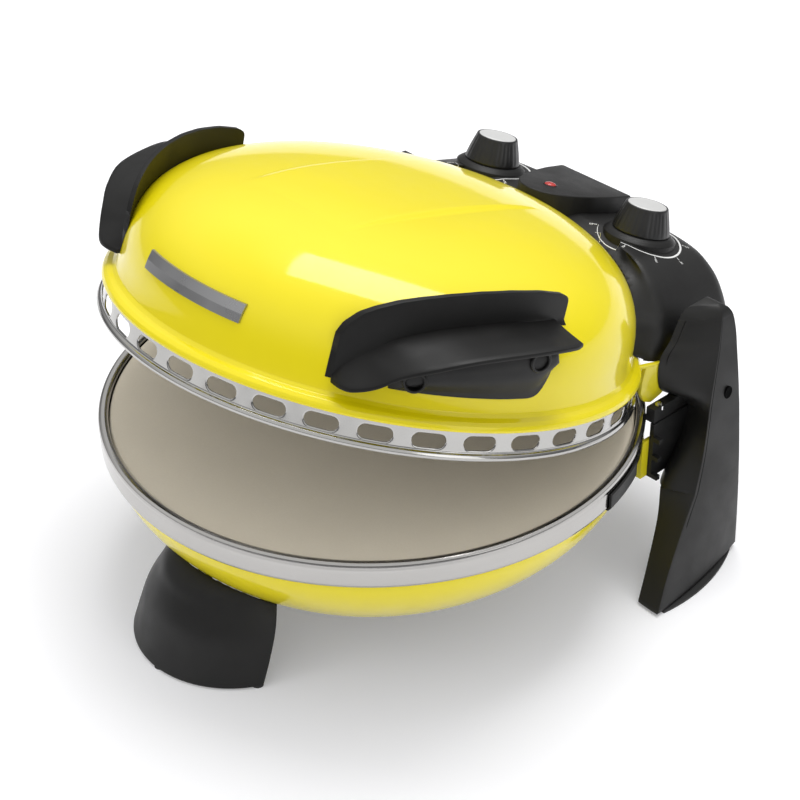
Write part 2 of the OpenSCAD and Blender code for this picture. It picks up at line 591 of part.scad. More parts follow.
module centre_panel() {
  color([0.09, 0.09, 0.09]) lid_frame() difference() {
    translate([0, 0, panel_z - 6]) linear_extrude(height = cap_z - panel_z + 6) centre_plan(0);
    translate([0, 0, panel_z - 8]) linear_extrude(height = cap_z - panel_z + 5.6) centre_plan(2.2);
    dome_solid(0.4);
    house_form(-0.02);
    translate([0, 132.2, 60]) cylinder(r = 3.9, h = 40, $fn = 32);
  }
}
module pilot_lens() {
  color([0.75, 0.08, 0.06]) lid_frame() translate([0, 132.2, cap_z - 2.2]) {
    cylinder(r = 3.8, h = 2.4, $fn = 32);
    intersection() {
      translate([0, 0, -2.4]) sphere(r = 6.4, $fn = 48);
      cylinder(r = 3.8, h = 6, $fn = 32);
    }
  }
}
module pilot_lamp() {
  color([0.9, 0.6, 0.4]) lid_frame() {
    translate([0, 132.2, 76.3]) cylinder(r = 2.6, h = 7.9, $fn = 24);
    translate([0, 132.2, 74]) cylinder(r = 3.4, h = 2.4, $fn = 24);
  }
}
module dial_rings() {
  color([0.1, 0.1, 0.1]) lid_frame() for (x = [-knob_x, knob_x]) translate([x, knob_y, 0])
    difference() {
      rotate_extrude($fn = 96) polygon([[6, panel_z - 3], [22.8, panel_z - 6], [22.5, panel_z + 0.03],
        [21.6, panel_z + 1], [18.8, panel_z + 2.6], [17.9, panel_z + 3], [6, panel_z + 3]]);
      // lie only on the panel, free of the dome
      translate([-x, -knob_y, 0]) { dome_solid(0.4); house_form(-0.03); }
    }
}
module thermostat_body() {
  color([0.6, 0.6, 0.62]) lid_frame() translate([knob_x, knob_y, 0]) difference() {
    union() {
      translate([0, 0, 62]) cylinder(r = 15, h = 8, $fn = 48);
      translate([0, 0, 69.9]) cylinder(r = 5, h = 9, $fn = 32);
      slab([-17, -4, 66.5], [17, 4, 70]);
    }
    translate([0, 0, 64]) cylinder(r = shaft_r + shaft_c, h = 30, $fn = 32);
  }
}
module timer_body() {
  color([0.55, 0.55, 0.5]) lid_frame() translate([-knob_x, knob_y, 0]) difference() {
    union() {
      slab([-16, -10, 62], [16, 16, 70]);
      translate([0, 0, 69.9]) cylinder(r = 5, h = 9, $fn = 32);
    }
    translate([0, 0, 64]) cylinder(r = shaft_r + shaft_c, h = 30, $fn = 32);
  }
}
module control_knob() {
  difference() {
    union() {
      translate([0, 0, panel_z + 3.2]) cylinder(r1 = knob_r2, r2 = knob_r1, h = knob_h, $fn = 96);
    }
    translate([0, 0, panel_z + 3.1]) difference() {
      cylinder(r1 = knob_r2 - 2, r2 = knob_r1 - 1, h = knob_h - 3, $fn = 64);
      translate([0, 0, 2.6]) cylinder(r = 5.4, h = 20, $fn = 32);
    }
    translate([0, 0, panel_z]) cylinder(r = shaft_r, h = 14, $fn = 32);
  }
}
module control_shaft() {
  translate([0, 0, 64.4]) cylinder(r = shaft_r, h = panel_z + 14 - 64.4, $fn = 32);
}
module control_cap() {
  translate([0, 0, panel_z + 3.2 + knob_h]) cylinder(r1 = knob_r1 - 0.8, r2 = knob_r1 - 1.4, h = 0.8, $fn = 64);
}
module thermostat_knob() { color([0.06, 0.06, 0.06]) lid_frame() translate([knob_x, knob_y, 0]) control_knob(); }
module thermostat_shaft() { color([0.7, 0.7, 0.7]) lid_frame() translate([knob_x, knob_y, 0]) control_shaft(); }
module thermostat_cap() { color([0.8, 0.8, 0.8]) lid_frame() translate([knob_x, knob_y, 0]) control_cap(); }
module timer_knob() { color([0.06, 0.06, 0.06]) lid_frame() translate([-knob_x, knob_y, 0]) control_knob(); }
module timer_shaft() { color([0.7, 0.7, 0.7]) lid_frame() translate([-knob_x, knob_y, 0]) control_shaft(); }
module timer_cap() { color([0.8, 0.8, 0.8]) lid_frame() translate([-knob_x, knob_y, 0]) control_cap(); }
module thermostat_bulb() {
  color([0.75, 0.55, 0.3]) lid_frame() {
    translate([-30, 100, 32]) cylinder(r = 2.2, h = 22, $fn = 24);
    translate([-30, 100, 54]) sphere(r = 2.2, $fn = 24);
    translate([-30, 100, 54]) rotate([-90, 0, 0]) cylinder(r = 1.6, h = 26, $fn = 24);
  }
}
module terminal_block() {
  color([0.85, 0.85, 0.85]) lid_frame() slab([70, 160, 44], [98, 174, 54]);
}
module cord_gland() {
  color([0.05, 0.05, 0.05]) lid_frame() translate([80, 183, 50]) rotate([-90, 0, 0]) difference() {
    union() {
      cylinder(r = 5.5, h = 13.4, $fn = 32);
      translate([0, 0, 8.6]) cylinder(r = 7.6, h = 2.4, $fn = 32);
      translate([0, 0, 3.4]) cylinder(r = 7.6, h = 2.5, $fn = 32);
    }
    translate([0, 0, -1]) cylinder(r = 3.5, h = 30, $fn = 32);
  }
}

base_bowl();
steel_rim();
baking_stone();
lower_reflector();
lower_element();
element_clips_lower();
lower_terminals();
thermal_fuse();
rim_clamps();
hinge_lugs();
leg_bracket_right();
leg_bracket_left();
hinge_plate_right();
hinge_plate_left();
hinge_screws();
rear_leg_right();
rear_leg_left();
leg_pads();
leg_screws();
pivot_pin_right();
pivot_pin_left();
front_foot();
front_foot_pads();
foot_screws();
lid_shell();
lid_slotted_ring();
upper_reflector();
lid_insulation();
upper_element();
element_clips_upper();
upper_terminals();
hinge_arm_right();
hinge_arm_left();
handle_right();
handle_left();
handle_base_right();
handle_base_left();
handle_screws();
front_badge();
control_housing();
housing_base_cover();
centre_panel();
pilot_lens();
pilot_lamp();
dial_rings();
thermostat_body();
timer_body();
thermostat_bulb();
terminal_block();
cord_gland();
thermostat_knob();
thermostat_shaft();
thermostat_cap();
timer_knob();
timer_shaft();
timer_cap();
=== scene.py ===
import json
import math

import bmesh
import bpy
import numpy as np
from mathutils import Matrix, Vector
from mathutils.bvhtree import BVHTree


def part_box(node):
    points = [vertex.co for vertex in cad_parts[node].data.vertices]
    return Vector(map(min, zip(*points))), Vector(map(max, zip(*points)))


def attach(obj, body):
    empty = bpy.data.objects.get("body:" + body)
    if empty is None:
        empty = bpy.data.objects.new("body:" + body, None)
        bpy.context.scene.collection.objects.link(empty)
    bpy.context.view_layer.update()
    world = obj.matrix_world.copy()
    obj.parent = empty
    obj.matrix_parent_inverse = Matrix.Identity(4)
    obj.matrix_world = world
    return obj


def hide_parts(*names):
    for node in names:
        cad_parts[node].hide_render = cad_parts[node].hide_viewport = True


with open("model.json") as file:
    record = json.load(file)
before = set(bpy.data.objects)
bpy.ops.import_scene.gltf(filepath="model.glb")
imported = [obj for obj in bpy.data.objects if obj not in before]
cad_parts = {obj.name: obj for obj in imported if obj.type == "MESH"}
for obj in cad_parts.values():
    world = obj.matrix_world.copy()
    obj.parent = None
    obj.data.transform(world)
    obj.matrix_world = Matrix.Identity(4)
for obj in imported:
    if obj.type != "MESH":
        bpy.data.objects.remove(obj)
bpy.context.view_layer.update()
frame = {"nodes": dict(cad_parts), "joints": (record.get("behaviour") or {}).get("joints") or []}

# ---------------------------------------------------------------- frames
# everything below is drawn in millimetres, in the base's or the lid's own frame
lo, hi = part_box("steel_rim")
MID = -(lo.y + hi.y) / 2 * 1000
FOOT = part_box("baking_stone")[1].z * 1000 - 1.5
JOINT = {j["name"]: j for j in frame["joints"]}
HP = JOINT["lid_hinge"]["pos_m"]
PY, PZ = HP[1] * 1000 + MID, HP[2] * 1000 - FOOT
OPEN = math.radians(-JOINT["lid_hinge"]["range_deg"][0])
RING = 4.8
BASE = Matrix.Translation((0, -MID, FOOT))
LID = (BASE @ Matrix.Translation((0, PY, PZ)) @ Matrix.Rotation(-OPEN, 4, "X")
       @ Matrix.Translation((0, -PY, -PZ + RING)))
FRAMES = {"B": np.array(BASE), "L": np.array(LID)}


# ---------------------------------------------------------------- mesh tools
class Build:
    """Collects vertices and faces in millimetres."""

    def __init__(self):
        self.v, self.f = [], []

    def add(self, verts, faces):
        o = len(self.v)
        self.v.extend([tuple(float(c) for c in p) for p in verts])
        self.f.extend([tuple(i + o for i in q) for q in faces])
        return self

    def grid(self, P, wrap_c=False, wrap_r=False):
        P = np.asarray(P, float)
        R, C = P.shape[:2]
        faces = []
        for i in range(R if wrap_r else R - 1):
            for j in range(C if wrap_c else C - 1):
                a, b = i * C + j, i * C + (j + 1) % C
                c, d = ((i + 1) % R) * C + (j + 1) % C, ((i + 1) % R) * C + j
                faces.append((a, b, c, d))
        return self.add(P.reshape(-1, 3), faces)

    def poly(self, ring):
        ring = list(ring)
        return self.add(ring, [tuple(range(len(ring)))])

    def fan(self, ring, centre):
        ring = list(ring)
        n = len(ring)
        return self.add(ring + [centre], [(i, (i + 1) % n, n) for i in range(n)])

    def both(self):
        """Adds the mirror image in the middle plane."""
        v = [(-x, y, z) for x, y, z in self.v]
        f = [tuple(reversed(q)) for q in self.f]
        return self.add(v, f)


def rounded(pts, r, n=4, closed=True):
    """A polygon in 2-D with each corner rounded; r is one radius or one for each corner."""
    pts = [np.array(p, float) for p in pts]
    out = []
    m = len(pts)
    for i, p in enumerate(pts):
        ri = r[i] if hasattr(r, "__len__") else r
        if (not closed and i in (0, m - 1)) or ri <= 0:
            out.append(p)
            continue
        a, b = pts[i - 1] - p, pts[(i + 1) % m] - p
        la, lb = np.linalg.norm(a), np.linalg.norm(b)
        if la < 1e-9 or lb < 1e-9:
            out.append(p)
            continue
        a, b = a / la, b / lb
        ang = math.acos(max(-1, min(1, float(a @ b))))
        if ang > math.radians(176) or ang < 1e-3:
            out.append(p)
            continue
        d = min(ri / math.tan(ang / 2), la * 0.48, lb * 0.48)
        rr = d * math.tan(ang / 2)
        c = p + (a + b) / np.linalg.norm(a + b) * (rr / math.sin(ang / 2))
        s, e = p + a * d - c, p + b * d - c
        for k in range(n + 1):
            t = k / n
            w = math.acos(max(-1, min(1, float(s @ e) / (rr * rr))))
            if w < 1e-4:
                q = s
            else:
                q = (math.sin((1 - t) * w) * s + math.sin(t * w) * e) / math.sin(w)
            out.append(c + q)
    return np.array(out)


def resample(pts, n, closed=True):
    pts = np.asarray(pts, float)
    if closed:
        pts = np.vstack([pts, pts[:1]])
    seg = np.linalg.norm(np.diff(pts, axis=0), axis=1)
    s = np.concatenate([[0], np.cumsum(seg)])
    t = np.linspace(0, s[-1], n + 1)[:-1] if closed else np.linspace(0, s[-1], n)
    return np.stack([np.interp(t, s, pts[:, k]) for k in range(pts.shape[1])], -1)


def smooth_curve(pts, n):
    """Points on a Catmull-Rom curve through pts."""
    p = np.asarray(pts, float)
    p = np.vstack([2 * p[0] - p[1], p, 2 * p[-1] - p[-2]])
    m = len(p) - 3
    out = []
    for u in np.linspace(0, m, n):
        i = min(int(u), m - 1)
        t = u - i
        a, b, c, d = p[i], p[i + 1], p[i + 2], p[i + 3]
        out.append(0.5 * (2 * b + (c - a) * t + (2 * a - 5 * b + 4 * c - d) * t * t
                          + (3 * b - a - 3 * c + d) * t ** 3))
    return np.array(out)


def revolve(profile, n=192, a0=0.0, a1=360.0, closed_profile=True):
    """Turns a closed (r, z) profile about the z axis."""
    B = Build()
    prof = np.asarray(profile, float)
    full = abs(a1 - a0 - 360) < 1e-6
    ang = np.radians(np.linspace(a0, a1, n + 1))
    if full:
        ang = ang[:-1]
    P = np.stack([np.outer(np.cos(ang), prof[:, 0]), np.outer(np.sin(ang), prof[:, 0]),
                  np.tile(prof[:, 1], (len(ang), 1))], -1)
    B.grid(P, wrap_c=closed_profile, wrap_r=full)
    if not full and closed_profile:
        B.poly(P[0])
        B.poly(P[-1][::-1])
    return B


def tube(path, r, n=16, ends=True):
    """A round bar along a path."""
    p = np.asarray(path, float)
    t = np.gradient(p, axis=0)
    t /= np.linalg.norm(t, axis=1)[:, None]
    ref = np.array([0, 0, 1.0]) if abs(t[0][2]) < 0.9 else np.array([1.0, 0, 0])
    rings = []
    u = np.cross(t[0], ref)
    u /= np.linalg.norm(u)
    rr = r if hasattr(r, "__len__") else [r] * len(p)
    for q, d, ri in zip(p, t, rr):
        u = u - d * (u @ d)
        u /= np.linalg.norm(u)
        w = np.cross(d, u)
        a = np.linspace(0, 2 * np.pi, n, endpoint=False)
        rings.append(q + ri * (np.outer(np.cos(a), u) + np.outer(np.sin(a), w)))
    B = Build().grid(np.array(rings), wrap_c=True)
    if ends:
        B.fan(rings[0], p[0])
        B.fan(rings[-1], p[-1])
    return B


def turned(axis_point, axis, profile, n=48):
    """A turned piece: (distance from the axis, distance along it) profile, closed."""
    M = Vector((0, 0, 1)).rotation_difference(Vector(axis).normalized()).to_matrix()
    B = revolve(profile, n)
    B.v = [tuple(M @ Vector(q) + Vector(axis_point)) for q in B.v]
    return B


def extrude(outline, z0, z1, bevel=0.0, steps=3):
    """A prism from a plan outline with rounded upper and lower edges."""
    o = np.asarray(outline, float)
    c = np.roll(o, -1, 0) - np.roll(o, 1, 0)
    nrm = np.stack([c[:, 1], -c[:, 0]], -1)
    nrm /= np.maximum(np.linalg.norm(nrm, axis=1), 1e-9)[:, None]
    area = 0.5 * np.sum(o[:, 0] * np.roll(o[:, 1], -1) - np.roll(o[:, 0], -1) * o[:, 1])
    if area < 0:
        nrm = -nrm
    rows = []
    b = bevel
    for k in range(steps + 1):
        a = math.pi / 2 * k / steps
        rows.append((z0 + b * (1 - math.sin(a)), b * (1 - math.cos(a)))) if b else None
    lower = [(z0 + b * (1 - math.cos(a)), b * (1 - math.sin(a))) for a in np.linspace(0, math.pi / 2, steps + 1)] if b else [(z0, 0)]
    upper = [(z1 - b * (1 - math.cos(a)), b * (1 - math.sin(a))) for a in np.linspace(math.pi / 2, 0, steps + 1)] if b else [(z1, 0)]
    P = []
    for z, inset in lower + upper:
        q = o - nrm * inset
        P.append(np.column_stack([q, np.full(len(q), z)]))
    B = Build().grid(np.array(P), wrap_c=True)
    B.poly(P[0][::-1])
    B.poly(P[-1])
    return B


def finish_mesh(name, build, where, angle=38, weld=1e-3, normals=True):
    M = FRAMES[where]
    co = np.array(build.v, float)
    co = co @ M[:3, :3].T + M[:3, 3]
    co *= 0.001
    me = bpy.data.meshes.new(name)
    me.from_pydata([tuple(p) for p in co], [], build.f)
    bm = bmesh.new()
    bm.from_mesh(me)
    bmesh.ops.remove_doubles(bm, verts=bm.verts, dist=weld * 0.001)
    dead = [f for f in bm.faces if f.calc_area() < 1e-13]
    if dead:
        bmesh.ops.delete(bm, geom=dead, context="FACES_ONLY")
    loose = [v for v in bm.verts if not v.link_faces]
    if loose:
        bmesh.ops.delete(bm, geom=loose, context="VERTS")
    if normals:
        bmesh.ops.recalc_face_normals(bm, faces=bm.faces)
    bm.to_mesh(me)
    bm.free()
    me.polygons.foreach_set("use_smooth", [True] * len(me.polygons))
    me.set_sharp_from_angle(angle=math.radians(angle))
    return me


def piece(name, build, where, body, material, replaces=(), angle=38, bevel=0.0, seg=2,
          bevel_angle=35, weld=1e-3):
    me = finish_mesh(name, build, where, angle, weld)
    ob = bpy.data.objects.new(name, me)
    bpy.context.scene.collection.objects.link(ob)
    if bevel:
        m = ob.modifiers.new("edges", "BEVEL")
        m.width = bevel * 0.001
        m.segments = seg
        m.limit_method = "ANGLE"
        m.angle_limit = math.radians(bevel_angle)
        m.use_clamp_overlap = True
        dg = bpy.context.evaluated_depsgraph_get()
        new = bpy.data.meshes.new_from_object(ob.evaluated_get(dg))
        ob.modifiers.clear()
        ob.data = new
        new.name = name
        new.polygons.foreach_set("use_smooth", [True] * len(new.polygons))
        new.set_sharp_from_angle(angle=math.radians(angle))
    ob.data.materials.clear()
    ob.data.materials.append(material)
    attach(ob, body)
    if replaces:
        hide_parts(*replaces)
    return ob


def mirrored(build):
    B = Build()
    B.v = [(-x, y, z) for x, y, z in build.v]
    B.f = [tuple(reversed(q)) for q in build.f]
    return B


# ---------------------------------------------------------------- materials
def material(name, colour, rough, metal=0.0, coat=0.0, coat_rough=0.03, ior=1.5, spec=0.5,
             grain=0.0, grain_scale=900.0, tint=0.0, tint_scale=30.0, rough_var=0.0,
             rough_scale=60.0, brushed=None, spots=None, wave=0.0, wave_scale=20.0,
             transmission=0.0, emission=0.0, dust=0.0):
    m = bpy.data.materials.new(name)
    m.use_nodes = True
    nt = m.node_tree
    N, L = nt.nodes, nt.links
    N.clear()
    out = N.new("ShaderNodeOutputMaterial")
    p = N.new("ShaderNodeBsdfPrincipled")
    L.new(p.outputs[0], out.inputs[0])
    p.inputs["Metallic"].default_value = metal
    p.inputs["Roughness"].default_value = rough
    p.inputs["Coat Weight"].default_value = coat
    p.inputs["Coat Roughness"].default_value = coat_rough
    p.inputs["IOR"].default_value = ior
    p.inputs["Specular IOR Level"].default_value = spec
    p.inputs["Transmission Weight"].default_value = transmission
    if emission:
        p.inputs["Emission Color"].default_value = (*colour, 1)
        p.inputs["Emission Strength"].default_value = emission
    tc = N.new("ShaderNodeTexCoord")
    pos = tc.outputs["Object"]

    def noise(scale, detail=3.0, vec=None, roughness=0.5):
        n = N.new("ShaderNodeTexNoise")
        n.inputs["Scale"].default_value = scale
        n.inputs["Detail"].default_value = detail
        n.inputs["Roughness"].default_value = roughness
        L.new(vec if vec is not None else pos, n.inputs["Vector"])
        return n.outputs["Fac"]

    def remap(value, lo, hi, a=0.0, b=1.0):
        r = N.new("ShaderNodeMapRange")
        L.new(value, r.inputs["Value"])
        r.inputs["From Min"].default_value = a
        r.inputs["From Max"].default_value = b
        r.inputs["To Min"].default_value = lo
        r.inputs["To Max"].default_value = hi
        return r.outputs["Result"]

    vec = None
    if brushed:
        # brush lines run round the axis: stretch the noise in height and radius only
        sep = N.new("ShaderNodeSeparateXYZ")
        L.new(pos, sep.inputs[0])
        sx = N.new("ShaderNodeMath"); sx.operation = "POWER"; sx.inputs[1].default_value = 2
        L.new(sep.outputs[0], sx.inputs[0])
        oy = N.new("ShaderNodeMath"); oy.operation = "ADD"; oy.inputs[1].default_value = MID * 0.001
        L.new(sep.outputs[1], oy.inputs[0])
        sy = N.new("ShaderNodeMath"); sy.operation = "POWER"; sy.inputs[1].default_value = 2
        L.new(oy.outputs[0], sy.inputs[0])
        s = N.new("ShaderNodeMath"); s.operation = "ADD"
        L.new(sx.outputs[0], s.inputs[0]); L.new(sy.outputs[0], s.inputs[1])
        r = N.new("ShaderNodeMath"); r.operation = "SQRT"
        L.new(s.outputs[0], r.inputs[0])
        comb = N.new("ShaderNodeCombineXYZ")
        L.new(r.outputs[0], comb.inputs[0])
        L.new(sep.outputs[2], comb.inputs[2])
        at = N.new("ShaderNodeMath"); at.operation = "ARCTAN2"
        L.new(oy.outputs[0], at.inputs[0]); L.new(sep.outputs[0], at.inputs[1])
        sc = N.new("ShaderNodeMath"); sc.operation = "MULTIPLY"; sc.inputs[1].default_value = 0.004
        L.new(at.outputs[0], sc.inputs[0])
        L.new(sc.outputs[0], comb.inputs[1])
        vec = comb.outputs[0]

    base = None
    c = np.array(colour)
    if tint or spots or dust:
        f = noise(tint_scale, 4.0)
        mix = N.new("ShaderNodeMix"); mix.data_type = "RGBA"
        dark = np.clip(c * (1 - tint), 0, 1)
        light = np.clip(c * (1 + tint), 0, 1)
        mix.inputs[6].default_value = (*dark, 1)
        mix.inputs[7].default_value = (*light, 1)
        L.new(remap(f, 0, 1, 0.3, 0.7), mix.inputs[0])
        base = mix.outputs[2]
        if spots:
            col, scale, lo_, hi_ = spots
            f2 = noise(scale, 5.0, roughness=0.65)
            mix2 = N.new("ShaderNodeMix"); mix2.data_type = "RGBA"
            L.new(remap(f2, 0, 1, lo_, hi_), mix2.inputs[0])
            L.new(base, mix2.inputs[6])
            mix2.inputs[7].default_value = (*col, 1)
            base = mix2.outputs[2]
        if dust:
            f3 = noise(7.0, 6.0, roughness=0.6)
            mix3 = N.new("ShaderNodeMix"); mix3.data_type = "RGBA"
            L.new(remap(f3, 0, dust, 0.45, 0.75), mix3.inputs[0])
            L.new(base, mix3.inputs[6])
            mix3.inputs[7].default_value = (0.45, 0.44, 0.42, 1)
            base = mix3.outputs[2]
    if base is not None:
        L.new(base, p.inputs["Base Color"])
    else:
        p.inputs["Base Color"].default_value = (*colour, 1)
    if rough_var:
        v = noise(rough_scale if not vec else rough_scale * 12, 3.0, vec)
        L.new(remap(v, max(0.02, rough - rough_var), rough + rough_var, 0.3, 0.7), p.inputs["Roughness"])
    height = None
    if grain:
        n1 = noise(grain_scale if not vec else grain_scale * 3, 3.0, vec)
        b = N.new("ShaderNodeBump")
        b.inputs["Strength"].default_value = grain
        b.inputs["Distance"].default_value = 0.00012
        L.new(n1, b.inputs["Height"])
        height = b
    if wave:
        n2 = noise(wave_scale, 1.5)
        b2 = N.new("ShaderNodeBump")
        b2.inputs["Strength"].default_value = wave
        b2.inputs["Distance"].default_value = 0.001
        L.new(n2, b2.inputs["Height"])
        if height:
            L.new(height.outputs[0], b2.inputs["Normal"])
        height = b2
    if height:
        L.new(height.outputs[0], p.inputs["Normal"])
        if coat:
            L.new(height.outputs[0], p.inputs["Coat Normal"])
    return m


YELLOW = material("yellow_enamel", (0.83, 0.70, 0.002), 0.40, coat=0.8, coat_rough=0.07, spec=0.15, grain=0.05,
                  grain_scale=1400, tint=0.015, tint_scale=18, rough_var=0.05, wave=0.02, wave_scale=26)
# painted shade: a darker copy of the yellow enamel for the hinge arms and lugs at the back, where they sit in shade
YELLOW_PAINTED_SHADE = material("yellow_enamel_painted_shade", (0.72, 0.62, 0.006), 0.38, coat=0.6, coat_rough=0.12, grain=0.08,
                     grain_scale=1400, tint=0.03, tint_scale=22)
STEEL = material("polished_stainless", (0.46, 0.45, 0.435), 0.15, metal=1.0, grain=0.12, grain_scale=900,
                 brushed=True, tint=0.02, rough_var=0.05, rough_scale=60)
RINGSTEEL = material("bright_stainless", (0.46, 0.455, 0.44), 0.12, metal=1.0, grain=0.08, grain_scale=700,
                     tint=0.03, rough_var=0.06, rough_scale=90)
STONE = material("refractory_stone", (0.91, 0.865, 0.72), 0.82, grain=0.8, grain_scale=1500, tint=0.035,
                 tint_scale=60, spots=((0.74, 0.66, 0.53), 850, -1.9, 1.3), rough_var=0.08)
BLACK = material("satin_black_plastic", (0.0085, 0.0083, 0.008), 0.42, grain=0.35, grain_scale=2600,
                 tint=0.12, tint_scale=45, rough_var=0.05, spec=0.24)
BLACK_SOFT = material("moulded_black_plastic", (0.0095, 0.0093, 0.009), 0.46, grain=0.45, grain_scale=2200,
                      tint=0.12, tint_scale=40, rough_var=0.06, spec=0.34)
BLACK_DARK = material("black_hinge_plastic", (0.006, 0.006, 0.006), 0.5, grain=0.4, grain_scale=1800,
                      tint=0.15, tint_scale=60, rough_var=0.08, spec=0.35)
# painted shade: the leg screws get a near-black, almost unreflective colour that stands for the shade inside their sunk
# recesses
SCREW_RECESS_SHADE = material("screw_recess_painted_shade", (0.0015, 0.0015, 0.0015), 0.8, grain=0.3, grain_scale=1800, tint=0.2,
                rough_var=0.05, spec=0.05)
KNOB = material("knob_black", (0.010, 0.010, 0.0105), 0.36, grain=0.25, grain_scale=2600, tint=0.12, rough_var=0.06,
                spec=0.45)
CAP = material("knob_cap_grey", (0.62, 0.62, 0.61), 0.42, metal=0.25, grain=0.2, grain_scale=3000, tint=0.03,
               rough_var=0.05)
PRINT = material("white_print", (0.72, 0.72, 0.71), 0.6, grain=0.2, grain_scale=4000, tint=0.05, tint_scale=300)
LENS = material("red_lens", (0.55, 0.02, 0.012), 0.18, coat=0.5, coat_rough=0.05, grain=0.2, grain_scale=1800,
                tint=0.15, tint_scale=500, transmission=0.25, emission=0.06)
RUBBER = material("black_rubber", (0.02, 0.02, 0.02), 0.75, grain=0.6, grain_scale=1500, tint=0.15, rough_var=0.08)
ZINC = material("zinc_steel", (0.62, 0.62, 0.63), 0.3, metal=1.0, grain=0.3, grain_scale=1200, tint=0.06,
                rough_var=0.1)
CHROME = material("screw_chrome", (0.78, 0.78, 0.79), 0.14, metal=1.0, grain=0.15, grain_scale=1500, tint=0.04,
                  rough_var=0.05)
ALU = material("aluminised_sheet", (0.56, 0.56, 0.555), 0.36, metal=1.0, grain=0.5, grain_scale=500, tint=0.07,
               tint_scale=120, rough_var=0.12, wave=0.15, wave_scale=40)
TUBE = material("heating_tube", (0.10, 0.098, 0.095), 0.5, metal=0.7, grain=0.4, grain_scale=1500, tint=0.25,
                tint_scale=90, rough_var=0.12)
CERAMIC = material("ceramic_bush", (0.80, 0.78, 0.72), 0.4, coat=0.3, grain=0.3, grain_scale=1500, tint=0.05)
WOOL = material("mineral_wool", (0.66, 0.63, 0.55), 0.95, grain=1.0, grain_scale=700, tint=0.15, tint_scale=150)
COPPER = material("copper_tube", (0.62, 0.33, 0.18), 0.3, metal=1.0, grain=0.2, grain_scale=1500, tint=0.1,
                  rough_var=0.1)
PLATE = material("blank_plate", (0.42, 0.42, 0.425), 0.3, metal=1.0, grain=0.2, grain_scale=2500, tint=0.03,
                 rough_var=0.06)
NEON = material("neon_glow_lamp", (0.80, 0.42, 0.22), 0.15, coat=0.5, grain=0.1, grain_scale=1500, tint=0.1,
                transmission=0.5)

# ---------------------------------------------------------------- dome
DR, DH = 149.5, 75.5


def dome_z(r):
    return 19 + DH * np.cbrt(np.maximum(0, 1 - (np.minimum(r, DR) / DR) ** 3))


def dome_r(z):
    t = np.clip((np.asarray(z, float) - 19) / DH, 0, 1)
    return DR * np.cbrt(1 - t ** 3)


def sstep(x):
    x = np.clip(x, 0, 1)
    return x * x * (3 - 2 * x)


def emboss(x, y):
    """Height of the stamped middle field above the plain dome."""
    end = np.clip(1 - (y / 80.0) ** 2, 0, 1)
    w = 5.0 * end + 0.35
    s = 1 - sstep((np.abs(x) - 38.4) / np.maximum(w, 0.3))
    return 1.9 * end * s


def dome():
    flange = rounded([(156.1, 16.5), (157.3, 16.5), (157.6, 18.0), (156.9, 20.0), (155.0, 21.7),
                      (152.2, 22.8), (150.4, 24.7), (149.8, 28.0)], 1.2, 3, closed=False)
    wall = [(DR * math.cos(a) ** (2 / 3), 19 + DH * math.sin(a) ** (2 / 3)) for a in np.radians(np.linspace(4, 66, 40))]
    r_top = wall[-1][0]
    top = [(r, float(dome_z(r))) for r in np.linspace(r_top, 0.0, 100)[1:]]
    outer = list(map(tuple, flange)) + wall + top
    inner = [(max(r - 1.3 * min(1, r / 60), 0.0), z - 1.3) for r, z in outer[::-1] if z > 24]
    inner = [(r, z) for r, z in inner] + [(149.0, 24.0), (151.6, 21.5), (154.3, 20.4), (155.9, 18.9)]
    n = 480
    ang = np.linspace(0, 2 * np.pi, n, endpoint=False)
    def turn(prof, lift):
        prof = np.array(prof)
        P = np.stack([np.outer(np.cos(ang), prof[:, 0]), np.outer(np.sin(ang), prof[:, 0]),
                      np.tile(prof[:, 1], (n, 1))], -1)
        up = emboss(P[..., 0], P[..., 1]) * (P[..., 2] > 60)
        P[..., 2] += up
        return P
    P = turn(outer + inner, True)
    return Build().grid(P, wrap_c=True, wrap_r=True)


piece("lid_dome_skin", dome(), "L", "lid", YELLOW, ["lid_shell"], angle=50)

